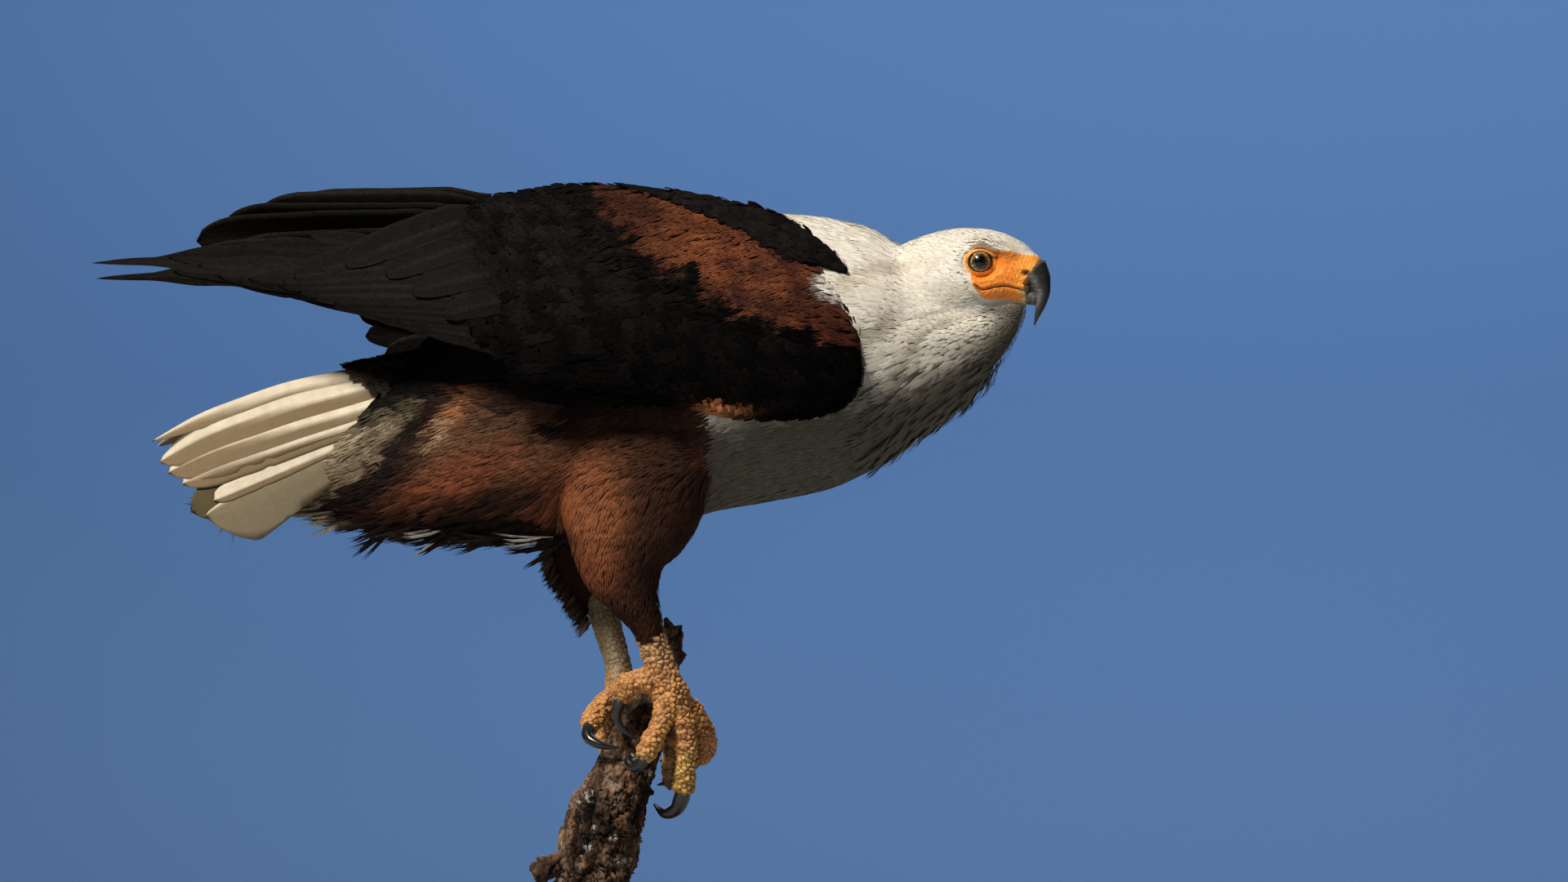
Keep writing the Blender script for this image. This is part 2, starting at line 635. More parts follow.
# Soft strokes of colour on the flank and thigh: X, height, half length, half width, slant, and colour.
STROKES = [
    (-40, 424, 50, 24, 8, (0.170, 0.088, 0.050)),
    (-92, 418, 26, 16, 40, (0.150, 0.080, 0.045)),
    (-84, 403, 56, 15, 21, (0.200, 0.064, 0.030)),
    (-14, 380, 30, 26, 60, (0.230, 0.068, 0.026)),
    (-14, 338, 28, 17, 75, (0.185, 0.055, 0.026)),
    (-60, 384, 44, 8, 20, (0.030, 0.015, 0.011)),
    (-90, 362, 110, 13, 0, (0.014, 0.009, 0.008)),
    (24, 437, 84, 27, -8, (0.010, 0.006, 0.005)),
    (66, 385, 70, 16, 100, (0.040, 0.019, 0.013)),
    (34, 325, 50, 11, 100, (0.030, 0.015, 0.011)),
    (6, 376, 34, 22, 75, (0.230, 0.080, 0.034)),
    (-132, 418, 58, 13, 45, (0.015, 0.010, 0.009)),
    (-160, 388, 40, 10, 30, (0.015, 0.010, 0.009)),
    (-92, 446, 22, 6.0, 45, (0.300, 0.125, 0.055)),
    (-104, 431, 12, 3.5, 45, (0.300, 0.200, 0.130)),
    (-96, 461, 13, 4.5, 0, (0.210, 0.042, 0.018)),
]

# The same on the white neck.
SHADES = [
    (204, 501, 24, 8, 48, (0.30, 0.265, 0.20)),
    (226, 484, 22, 4.5, 62, (0.34, 0.30, 0.23)),
    (243, 513, 16, 1.8, 12, (0.40, 0.34, 0.25)),
    (252, 506, 15, 1.6, 20, (0.36, 0.31, 0.23)),
    (238, 499, 18, 2.2, 32, (0.36, 0.31, 0.23)),
    (180, 528, 22, 5, 30, (0.50, 0.43, 0.33)),
    (214, 544, 20, 5, 20, (0.52, 0.45, 0.35)),
    (291, 503, 30, 11, 68, (0.10, 0.088, 0.064)),
    (284, 515, 15, 3.5, 5, (0.13, 0.110, 0.080)),
]
# Where the white of the neck begins, as height and X, and where the breast's shade ends, as X and height.
WHITE_EDGE = [(340, 80), (380, 80), (440, 92), (520, 104), (560, 112), (600, 122)]
SHADE_LINE = [(90, 444), (177, 466), (225, 480), (273, 500), (310, 534)]


def stroke(x, z, middle_x, height, length, width, slant):
    """How strongly a soft slanted stroke shows at each place."""
    turn = math.radians(slant)
    u = (x - middle_x) * math.cos(turn) + (z - height) * math.sin(turn)
    v = -(x - middle_x) * math.sin(turn) + (z - height) * math.cos(turn)
    return bell(u, length) * bell(v, width)


def body_colour(points):
    """The plumage's colour at points of trunk, neck, head and thighs."""
    x, y, z = points.T
    streaks = ripple(points, 16, 1, (2.6, 1.0, 1.0))
    patch = ripple(points, 42, 2)
    chestnut = mixed(BROWN, CHESTNUT, 0.5 + 0.35 * patch + 0.3 * streaks)
    for *form, colour in STROKES:
        chestnut = mixed(chestnut, colour, held(stroke(x, z, *form) * (1.25 + 0.5 * streaks)) * (z < 470))
    # the pale feathers under the tail, and the shaded fore side of the thighs
    rear = smooth(-156, -172, x - 0.95 * (z - 401) + 6 * streaks)
    long = ripple(np.stack([x + z, y, (z - x) * 5], 1), 30, 45)
    pale = mixed((0.30, 0.245, 0.160), (0.085, 0.062, 0.036), held(0.45 + 0.40 * long))
    chestnut = mixed(chestnut, pale, rear * smooth(470, 440, z))
    fore = smooth(-8, 20, x - 27 - 0.28 * (z - 411)) * smooth(418, 396, z) * (np.abs(x) < 90)
    chestnut = mixed(chestnut, (0.040, 0.018, 0.012), 0.85 * fore)
    belly = smooth(378, 356, z) * smooth(60, 20, x) * (np.abs(y) < 40)
    chestnut = mixed(chestnut, (0.010, 0.006, 0.005), 0.9 * belly * smooth(-200, -170, x))
    dark = mixed(chestnut, BLACK, smooth(442, 462, z + 6 * streaks + 10 * smooth(-85, -130, x)))
    cream = mixed(WHITE, (0.74, 0.66, 0.52), held(0.30 + 0.25 * streaks))
    for *form, colour in SHADES:
        cream = mixed(cream, colour, 0.8 * stroke(x, z, *form))
    shaded = smooth(16, -26, z - along(SHADE_LINE, x)[:, 0] + 5 * streaks + 3 * patch)
    cream = mixed(cream, (0.068, 0.060, 0.042), 0.96 * shaded)
    return mixed(dark, cream, smooth(-5, 5, x - along(WHITE_EDGE, z)[:, 0] + 9 * streaks))


def wing_colour(x, z):
    """The colour of the wing's coverts at a place on its outer side."""
    points = np.stack([x, 0 * x, z], 1)
    streaks, patch = ripple(points, 12, 5, (1.8, 1, 1)), ripple(points, 30, 6)
    slanted = ripple(np.stack([x + z, 0 * x, (z - x) * 2.4], 1), 26, 7)
    glow = bell(x - 52, 60) * bell(z - 560, 26)
    warm = mixed((0.050, 0.018, 0.013), RUFOUS, held(0.22 + 0.75 * glow + 0.45 * patch + 0.2 * slanted))
    warm = mixed(warm, (0.080, 0.024, 0.015), smooth(110, 175, x) * 0.7)
    warm = mixed(warm, (0.045, 0.018, 0.012), smooth(70, 6, x) * 0.8)
    dark = mixed(BLACK, (0.016, 0.0135, 0.0125), held(0.3 + 0.5 * streaks))
    dark = dark * (0.28 + 0.50 * smooth(455, 560, z - 0.10 * (x - 40)))[:, None]
    rufous = smooth(-5, 5, depth_in(points[:, [0, 2]], RUFOUS_BAND) + 1.5 + 5 * streaks + 6 * slanted)
    colour = mixed(mixed(dark, warm, rufous), (0.44, 0.17, 0.065), stroke(x, z, 80, 441, 17, 2.4, -6))
    tuft = bell(((x - 160) / 13) ** 2 + ((z - 529) / 11) ** 2, 1)
    return mixed(colour, WHITE, held(tuft * (1.2 + 0.6 * streaks)))


def coat_depth(points):
    """How thick the plumage lies on the skin, in millimetres."""
    h = head_coordinates(points)
    on_head = smooth(-30, 40, h[:, 0]) * smooth(470, 505, points[:, 2])
    depth = 5.4 - 3.2 * on_head
    for side in SIDES:
        down = (points[:, 2] < 400) & (points[:, 1] * side > 5) & (np.abs(points[:, 0]) < 80)
        leg = 1.2 + 3.8 * smooth(ANKLE[side] + 4, ANKLE[side] + 60, points[:, 2])
        depth = np.where(down, np.minimum(depth, leg), depth)
    depth = np.minimum(depth, 1.2 + 5 * smooth(-272, -215, points[:, 0]))
    from_face = edge_distance(h[:, [0, 2]], BARE_FACE)
    front = smooth(45, 60, h[:, 0]) * (h[:, 2] > FACE_FLOOR)
    return depth * (1 - front * (1 - smooth(-1.0, 6.0, from_face))) * (1 - bareness(points))


# --- skin ---

# The head, as forward, and the trunk, as X: key, top, bottom, half width.
HEAD_SECTIONS = [
    (-16, 556, 500, 27), (-4, 565.5, 492, 31), (12, 572, 490, 33), (28, 576, 492, 34), (44, 578, 498, 33.5),
    (58, 577.7, 505, 32), (72, 576, 511.5, 29.5), (84, 572.5, 517, 25), (94, 567.5, 520, 18.5),
    (102, 563, 521, 13.6), (108, 556.5, 522.5, 11.2), (112, 552, 525, 10),
]
# The ridge over each eye: forward, sideways, height, radius.
BROW = [(60, 20, 562, 5), (74, 23.5, 562.5, 6), (88, 18.5, 559.5, 5), (97, 13, 554.5, 4)]
TRUNK_SECTIONS = [
    (-270, 384, 371, 4), (-255, 396, 370, 13), (-235, 410, 371, 22), (-205, 432, 366, 32),
    (-165, 466, 355, 43), (-125, 508, 349, 54), (-90, 545, 347, 63), (-40, 577, 345, 71),
    (20, 590, 353, 76), (75, 592, 370, 78), (125, 591, 379, 75), (165, 587, 388, 68), (195, 580, 402, 59),
    (218, 566, 418, 51), (244, 553, 435, 43), (266, 545, 451, 35), (284, 538, 469, 27), (296, 533, 487, 20),
    (302, 529, 501, 13), (306, 526, 513, 7),
]
THROAT_TURN = (205.0, 0.0035)  # where the throat starts to follow the head aside, and how fast
# The thighs' feathered length and the bare shanks: X, Y, Z, half length fore and aft, half width.
THIGHS = {
    RIGHT: [(22, -38, 420, 60, 36), (20, -42, 385, 55, 34), (15, -43, 355, 47, 31), (13, -43, 327, 33, 26),
            (21, -42, 303, 18.5, 18), (30, -40, 284, 12, 12), (32.5, -38, 272, 10.5, 9.8)],
    LEFT: [(5, 38, 420, 58, 36), (-2, 42, 385, 50, 34), (-12, 43, 355, 38, 30), (-17, 42, 330, 25, 22),
           (-22, 42, 310, 12, 12), (-21, 42, 296, 8, 8)],
}
SHANKS = {
    RIGHT: [(29, -39, 300, 6, 6), (32, -38, 279, 10, 9), (37, -36, 262, 10.5, 8.5), (42, -34, 247, 11.5, 9),
            (46, -31, 234, 14, 10.5), (46, -31, 224, 9, 9)],
    LEFT: [(-11, 40, 320, 10.5, 9), (-4.5, 38, 298, 11, 9), (1.5, 35, 278, 10, 8.5), (6.5, 31, 260, 9.5, 8.5),
           (8.5, 27, 240, 11, 10), (8.5, 27, 228, 8, 8)],
}
SKIN_VOXEL, FEET_VOXEL = 1.9, 0.8
SCALE_TRIES = 9000  # places tried for the scales of feet and bark
FACE_CUTS = (6.0, 3.5)  # how far beyond the bare face each round of finer faces reaches
LEG_WIDTH = 62  # how far a leg's skin reaches from its middle
FLESH = ("trunk", "neck", "head", "thigh_right", "thigh_left")
FEET = ("shank_right", "foot_right", "shank_left", "foot_left")
# The middle of the body, as X and height.
BODY_AXIS = [(-270, 378), (-125, 430), (20, 470), (125, 485), (218, 495), (306, 540)]


def sections(table, sides, count, place):
    """Rings from rows of key, top, bottom and half width, put in space by place."""
    keys = np.linspace(table[0][0], table[-1][0], count)
    turn = np.linspace(0, 2 * math.pi, sides, endpoint=False)
    rings = []
    for key, (top, bottom, half_width) in zip(keys, along(table, keys)):
        middle, half_height = (top + bottom) / 2, (top - bottom) / 2
        rings.append([place(key, half_width * math.sin(a), middle + half_height * math.cos(a))
                      for a in turn])
    return lofted("sections", np.array(rings))


def trunk_place(x, y, z):
    """A place on the trunk, whose throat bends aside with the head."""
    start, rate = THROAT_TURN
    return (x, y - rate * max(0.0, x - start) ** 2, z)


def toe_form(rows):
    """A toe with knuckles and a blunt end."""
    rows = np.asarray(rows, float)
    ahead = rows[-1, :3] - rows[-2, :3]
    reach, size = 0.55 * rows[-1, 3], 0.62 * rows[-1, 3]
    end = [*(rows[-1, :3] + ahead / np.linalg.norm(ahead) * reach), size]
    rings = tube_rings([*rows, end], 24, 30, (0.1, 1, 0))
    middle = rings.mean(1, keepdims=True)
    knuckle = 1 + 0.05 * np.cos(np.linspace(0, 2 * math.pi * (len(rows) - 1), 30))
    return lofted("toe", middle + (rings - middle) * knuckle[:, None, None])


def brow_form(side):
    """The bony ridge over one eye."""
    rows = [(*head_point(f, side * s, h), r) for f, s, h, r in BROW]
    return lofted("brow", tube_rings(rows, 16, 14))


def turn_share(y, x):
    """A direction as a share of a whole turn."""
    return np.arctan2(y, x) / (2 * math.pi) + 0.5


def leg_middle(side, z):
    """X and Y of a leg's middle at each height."""
    return along([(height, x, y) for x, y, height in THIGH_LINE[side]], z).T


def on_leg(points, side, top):
    """Which points are on one leg, below a height."""
    x, y, z = points.T
    middle_x, middle_y = leg_middle(side, z)
    return (z < top) & (y * side > 6) & (np.hypot(x - middle_x, y - middle_y) < LEG_WIDTH)


def unwrapped(points):
    """A place for each point on a flat unwrap of the body: trunk and head round their own axis, and
    each leg round its own."""
    x, y, z = points.T
    turn = turn_share(y, z - along(BODY_AXIS, x)[:, 0])
    uv = np.stack([0.02 + 0.66 * turn, 0.02 + 0.96 * (x + 290) / 640], 1)
    for side, left_edge in ((RIGHT, 0.70), (LEFT, 0.85)):
        middle_x, middle_y = leg_middle(side, z)
        turn = turn_share(y - middle_y, x - middle_x)
        place = np.stack([left_edge + 0.13 * turn, 0.02 + 0.96 * (z - 140) / 240], 1)
        uv = np.where(on_leg(points, side, 362)[:, None], place, uv)
    return np.clip(uv, 0.002, 0.998)


def face_refined(mesh):
    """Splits the faces round eyes, bare face and gape into smaller ones."""
    bm = bmesh.new()
    bm.from_mesh(mesh)
    for reach in FACE_CUTS:
        bm.verts.index_update()
        h = head_coordinates(np.array([v.co[:] for v in bm.verts]) / MM)
        near = (depth_in(h[:, [0, 2]], BARE_FACE) > -reach) & on_face(h)
        for side in SIDES:
            local = eye_coordinates(h, side)
            near |= (np.hypot(local[:, 0], local[:, 1]) < 13 + reach) & (local[:, 2] > -6)
        edges = [e for e in bm.edges if near[e.verts[0].index] and near[e.verts[1].index]]
        bmesh.ops.subdivide_edges(bm, edges=edges, cuts=1, use_grid_fill=True, smooth=0.0)
    bmesh.ops.triangulate(bm, faces=[f for f in bm.faces if len(f.verts) > 4])
    for _ in range(3):
        head = [v for v in bm.verts if v.co.x / MM > 235 and v.co.z / MM > 505]
        bmesh.ops.smooth_vert(bm, verts=head, factor=0.35, use_axis_x=True, use_axis_y=True, use_axis_z=True)
    bm.to_mesh(mesh)
    bm.free()
    return mesh


def lidded(h, side):
    """Head points with the opening of one eye sunk behind the ball and its lids drawn round it."""
    centre, axes = eye_frame(side)
    local = eye_coordinates(h, side)
    u, v, w = local.T
    ring = np.hypot(u / LID_OPENING[0], v / LID_OPENING[1])
    near = (w > -8) & (ring < 2.6) & (h[:, 1] * side > 0)
    ball = EYE_DEPTH * np.sqrt(1 - np.clip(np.hypot(u, v) / EYE_RADIUS, 0, 0.999) ** 2)
    rim = ball + 0.35 + 1.1 * bell(ring - 1.22, 0.16)
    share = smooth(2.1, 1.28, ring)
    lid = w * (1 - share) + np.minimum(rim, w + 2.4) * share - 0.55 * bell(ring - 1.46, 0.07)
    opened = smooth(1.04, 0.98, ring)
    local[:, 2] = np.where(near, lid * (1 - opened) - 3.0 * opened, w)
    return local @ axes + centre


def face_formed(points):
    """The face's fine forms: lids, gape and mouth line, lip, nostril, lores and small wrinkles."""
    h = head_coordinates(points)
    front = (h[:, 0] > 55) & (h[:, 2] > 505)
    for side in SIDES:
        h = np.where(front[:, None], lidded(h, side), h)
    a, b, z = h.T
    span = smooth(69, 73, a) * front
    above = z - along(MOUTH_LINE, a)[:, 0]
    mouth = 0.7 * bell(above - 2.2, 1.5) + 0.5 * bell(above + 3.2, 2.0) - 1.5 * bell(mouth_distance(h), 0.75)
    hollow = 1.5 * bell(a - 88, 7) * bell(z - 546, 6)
    u, v = a - NOSTRIL[0], z - NOSTRIL[1]
    nostril = 1.1 * bell(u - 0.8, 1.0) * bell(v, 0.9) - 2.8 * bell((u / 2.7) ** 2 + (v / 2.1) ** 2, 1)
    wrinkle = 0.16 * ripple(points, 3.2, 31, (1, 1, 0.6)) + 0.12 * ripple(points, 1.9, 32)
    fold = 0.5 * bell(z - 537.5 + 0.06 * (a - 80), 0.9) * smooth(92, 78, a) * smooth(69, 72, a)
    out = mouth * span + (nostril * (np.abs(b) > 3) - hollow) * front + (wrinkle - fold) * bareness(points)
    b += np.sign(b) * held(np.abs(b) / 8) * out
    horn = np.where(z > 533, CERE_FACE[0] + (z - 545) * math.tan(CERE_FACE[1]), 103.0)
    return from_head(np.stack([np.minimum(a, horn), b, z], 1))


def face_colour(points):
    """Orange-yellow bare skin, deeper at the lores, paler at the cere, dark in the nostril."""
    h = head_coordinates(points)
    a, b, z = h.T
    mottle = ripple(points, 5, 41) * 0.5 + ripple(points, 2.2, 42) * 0.5
    colour = mixed(ORANGE, (0.78, 0.24, 0.02), held(0.35 + 0.5 * mottle))
    u, v = a - NOSTRIL[0], z - NOSTRIL[1]
    for tone, share in (
        ((1.0, 0.40, 0.055), smooth(92, 104, a) * 0.7),  # the cere
        ((0.42, 0.13, 0.02), 0.7 * bell(a - 89, 6) * bell(z - 555, 3.5)),  # the lores
        ((0.20, 0.05, 0.02), bell(mouth_distance(h), 0.6) * (a > 69.5)),
        ((0.015, 0.006, 0.004), bell((u / 2.6) ** 2 + (v / 2.0) ** 2, 1)),  # the nostril
        ((0.50, 0.33, 0.15), smooth(98, 102, a) * smooth(532, 530, z)),  # the jaw's tip
        ((0.20, 0.085, 0.035), 0.8 * bell(a - 71.5, 2.2) * bell(z - 529, 3.0)),  # the gape
    ):
        colour = mixed(colour, tone, share)
    for side in SIDES:
        across, up, sight = eye_coordinates(h, side).T
        ring = np.hypot(across / LID_OPENING[0], up / LID_OPENING[1])
        near = (sight > -4) & (b * side > 0)
        colour = mixed(colour, (1.0, 0.46, 0.06), bell(ring - 1.22, 0.10) * near * 0.8)
        crease = held(0.5 + 0.5 * ripple(points, 4, 43)) * bell(ring - 1.50, 0.05)
        upper = bell(ring - 1.62, 0.10) * smooth(1, 4, up) * smooth(-4, 3, across)
        slope = up - 4.2 + 0.28 * (across - 7)
        corner = bell(slope, 1.5) * smooth(5, 7.5, across) * smooth(14.5, 10.5, across)
        dark = bell(ring - 1.02, 0.09) + 0.8 * crease + 0.55 * upper + 0.9 * corner
        colour = mixed(colour, (0.035, 0.015, 0.008), held(dark) * near)
    return colour


def scaled_feet(mesh):
    """Leg skin raised in rough scales, larger on the fronts of shank and toes: its points, how far each
    is in a crease between large scales, and how far on a small one."""
    points, normals = points_of(mesh), normals_of(mesh)
    rough = np.random.default_rng(53)
    order = rough.permutation(len(points))[:SCALE_TRIES]
    large, small = (order[spread(points[order], gap, rough)] for gap in (2.9, 1.9))
    wide, number = cells(points, points[large], (1, 1, 0.8))
    fine, _ = cells(points, points[small])
    bulk, grain = smooth(0.0, 1.5, wide), smooth(0.0, 0.9, fine)
    front = smooth(-0.2, 0.6, normals[:, 0]) * 0.5 + smooth(0.1, -0.7, normals[:, 1]) * 0.5
    uneven = rough.normal(0, 0.22, len(large))[number]
    lumps = 1.4 * 0.55 * ripple(points, 8, 54, (1.4, 1.4, 0.6))
    plates = 1.7 * bulk - 0.9 + 1.5 * uneven
    out = front * plates + (1 - front) * (0.8 * grain - 0.4) + 0.35 * grain + lumps
    out *= 1 - 0.65 * smooth(230, 244, points[:, 2]) * (points[:, 1] > 0)
    return points + normals * out[:, None], front * (1 - bulk), grain


def leg_colour(points, plate, pebble):
    """Yellow legs, greyer on the left shank, with dark creases between the scales and a dark sole."""
    _, y, z = points.T
    sole = np.min([np.linalg.norm(points - np.array(row[:3]), axis=1) for row in SOLES[RIGHT][0]], 0)
    colour = mixed(LEG_YELLOW, (0.46, 0.20, 0.065), held(0.40 + 0.5 * ripple(points, 14, 55)))
    for tone, share in (((0.72, 0.48, 0.13), smooth(203, 188, z) * (y < 0) * 0.5),
                        ((0.20, 0.165, 0.085), smooth(236, 262, z) * (y > 0) * 0.95),
                        ((0.52, 0.34, 0.17), smooth(246, 268, z) * (y < 0) * 0.5),
                        ((0.10, 0.05, 0.025), 0.9 * smooth(11, 7, sole)),
                        ((0.085, 0.034, 0.014), held(0.85 * plate + 0.45 * (1 - pebble)))):
        colour = mixed(colour, tone, share)
    return colour


def make_skin():
    """One skin for trunk, neck, head, thighs, shanks and feet, inside them by the coat's depth. Gives
    back its part with the head, trunk and thighs."""
    forms = [sections(TRUNK_SECTIONS, 72, 150, trunk_place), sections(HEAD_SECTIONS, 56, 60, head_point)]
    forms += [brow_form(side) for side in SIDES]
    forms += [lofted("thigh", tube_rings(THIGHS[side], 40, 40)) for side in SIDES]
    body = face_refined(remeshed(forms, SKIN_VOXEL, 5))
    points, normals = points_of(body), normals_of(body)
    points -= normals * coat_depth(points)[:, None]
    set_points(body, face_formed(points))
    limbs = [lofted("shank", tube_rings(SHANKS[side], 32, 40)) for side in SIDES]
    limbs += [toe_form(rows) for side in SIDES for rows in [r for r, _ in TOES[side].values()] + SOLES[side]]
    feet = remeshed(limbs, FEET_VOXEL, 4)
    plain = points_of(feet)
    formed, creases, pebble = scaled_feet(feet)
    set_points(feet, formed)
    skin = joined("skin", [body, feet])
    count, points = len(body.vertices), points_of(skin)
    bare = np.r_[bareness(points[:count]), np.ones(len(points) - count)]
    colour = mixed(body_colour(points), face_colour(points), bare)
    colour[count:] = leg_colour(plain, creases, pebble)
    skin.shade_smooth()
    show("skin", skin, ["under_coat", "face_skin", "leg_skin"], "bare_skin",
         FLESH + FEET, colour, unwrapped(points))
    start = np.zeros(len(skin.polygons), np.int32)
    skin.polygons.foreach_get("loop_start", start)
    first = corners_of(skin)[start]
    kind = np.where(first >= count, 2, np.where(bare[first] > 0.5, 1, 0))
    skin.polygons.foreach_set("material_index", kind.astype(np.int32))
    return body


# --- feathers ---


class Vane:
    """A flat feather pattern: how far along and across each of its points lies, and its triangles."""

    def __init__(self, rows, widths, tips, wide_end=False):
        self.s, self.u, self.triangles = [], [], []
        for reach, width in zip(rows, widths):
            self.s += [reach] * 3
            self.u += [-width, 0.0, width]
        for row in range(len(rows) - 1):
            a, b = 3 * row, 3 * row + 3
            for i in (0, 1):
                self.triangles += [(a + i, a + i + 1, b + i + 1), (a + i, b + i + 1, b + i)]
        last = [3 * len(rows) - 3 + i for i in range(3)]
        if wide_end:
            last = self.widen(last, rows[-1] + 0.10, widths[-1])
        for index, (a, b) in enumerate(zip(last, last[1:])):
            middle = (self.u[a] + self.u[b]) / 2
            self.triangles.append((a, b, len(self.s)))
            self.s.append(tips[index % len(tips)])
            self.u.append(middle * 1.12)
        self.s, self.u = np.array(self.s), np.array(self.u)
        self.triangles = np.array(self.triangles)[:, ::-1]

    def widen(self, last, reach, width):
        """Goes from a row of three points to one of five, and gives back the new row."""
        a, m, b = last
        start = len(self.s)
        self.s += [reach] * 5
        self.u += [-width, -width / 2, 0.0, width / 2, width]
        row = range(start, start + 5)
        c, d, e, f, g = row
        self.triangles += [(a, d, c), (a, m, d), (m, e, d), (m, f, e), (m, b, f), (b, g, f)]
        return list(row)


HACKLE = Vane([0.0, 0.35, 0.7], [0.35, 0.9, 0.8], [1.0, 0.93])
PLUME = Vane([0.0, 0.3, 0.62], [0.35, 0.9, 1.0], [0.92, 1.0, 0.97, 0.9], wide_end=True)
SCALE = Vane([0.0, 0.3, 0.6, 0.84], [0.4, 0.9, 1.0, 0.86], [0.955, 1.0, 1.0, 0.955], wide_end=True)


CROWD = 3.0  # how many places are tried for each that fits
TRACE_STEPS = 4  # in how many steps a feather's line follows a surface
STEPS = np.linspace(0, 1, TRACE_STEPS + 1)  # the places along a feather's line
BAKE_PATCH = 0.003  # how large each small feather lies on the map OFBake


def spread(points, gap, rough):
    """Which of the points to keep so that no two are nearer than their gap, in a random order."""
    tree = KDTree(len(points))
    for i, p in enumerate(points):
        tree.insert(p, i)
    tree.balance()
    gap = np.broadcast_to(gap, len(points))
    kept, gone = [], np.zeros(len(points), bool)
    for i in rough.permutation(len(points)):
        if gone[i]:
            continue
        kept.append(i)
        for _, j, _ in tree.find_range(points[i], gap[i]):
            gone[j] = True
    return np.sort(np.array(kept, int))


def scattered(mesh, gap_at, rough):
    """Points spread over a mesh about gap_at(points) apart, with their normals."""
    mesh.calc_loop_triangles()
    corner = np.zeros(len(mesh.loop_triangles) * 3, np.int32)
    mesh.loop_triangles.foreach_get("vertices", corner)
    tri = corner.reshape(-1, 3)
    points, normals = points_of(mesh), normals_of(mesh)
    a, b, c = (points[tri[:, i]] for i in range(3))
    area = np.linalg.norm(np.cross(b - a, c - a), axis=1) / 2
    middle = (a + b + c) / 3
    gap = gap_at(middle)
    want = np.where(gap > 0, area * CROWD / np.maximum(gap, 0.3) ** 2, 0)
    count = rough.poisson(want)
    pick = np.repeat(np.arange(len(tri)), count)
    r1, r2 = np.sqrt(rough.random(len(pick))), rough.random(len(pick))
    w = np.stack([1 - r1, r1 * (1 - r2), r1 * r2], 1)
    at = (points[tri[pick]] * w[:, :, None]).sum(1)
    out = unit((normals[tri[pick]] * w[:, :, None]).sum(1))
    keep = spread(at, gap[pick], rough)
    return at[keep], out[keep]


def cells(points, seeds, stretch=(1, 1, 1)):
    """For each point: how far inside its own cell it lies, 0 on a border, and its cell's number."""
    tree = KDTree(len(seeds))
    for i, p in enumerate(seeds / np.array(stretch, float)):
        tree.insert(p, i)
    tree.balance()
    inner, number = np.zeros(len(points)), np.zeros(len(points), int)
    for i, p in enumerate(points / np.array(stretch, float)):
        (_, first, d1), (_, _, d2) = tree.find_n(p, 2)
        inner[i], number[i] = d2 - d1, first
    return inner, number


def surface_tree(mesh):
    """A mesh's faces, for finding the place on it nearest to a point."""
    points = points_of(mesh)
    return BVHTree.FromPolygons([tuple(p) for p in points], [tuple(f.vertices) for f in mesh.polygons])


def traced(tree, roots, normals, way_at, lengths):
    """The line of each feather over a surface: its points and normals, root to tip."""
    line, out = [roots], [normals]
    here, nor = roots, normals
    way = unit(way_at(roots) - normals * (way_at(roots) * normals).sum(1)[:, None])
    for _ in range(TRACE_STEPS):
        wish = 0.6 * way_at(here) + 0.4 * way
        wish -= nor * (wish * nor).sum(1)[:, None]
        way = unit(wish)
        ahead = here + way * (lengths / TRACE_STEPS)[:, None]
        found = [tree.find_nearest(tuple(p)) for p in ahead]
        spot = np.array([f[0] for f in found])
        facing = np.array([f[1] for f in found])
        turned = (facing * nor).sum(1) > 0.35
        here = np.where(turned[:, None], spot, ahead)
        nor = unit(np.where(turned[:, None], 0.5 * nor + 0.5 * facing, nor))
        line.append(here)
        out.append(nor)
    return np.stack(line, 1), np.stack(out, 1)


def at_rows(values, s):
    """Values given at evenly spaced rows, read at the places s from 0 to 1 or a little beyond."""
    steps = values.shape[1] - 1
    k = np.clip((s * steps).astype(int), 0, steps - 1)
    f = (s * steps - k)[None, :, None]
    return values[:, k] * (1 - f) + values[:, k + 1] * f


def vane_mesh(name, points, triangles, colours, bake, barbs):
    """A mesh of feathers. Its map Vane says where on its own feather each point lies."""
    mesh = triangle_mesh(name, points, triangles)
    paint(mesh, colours)
    set_uv(mesh, "OFBake", bake)
    set_uv(mesh, "Vane", barbs)
    return mesh


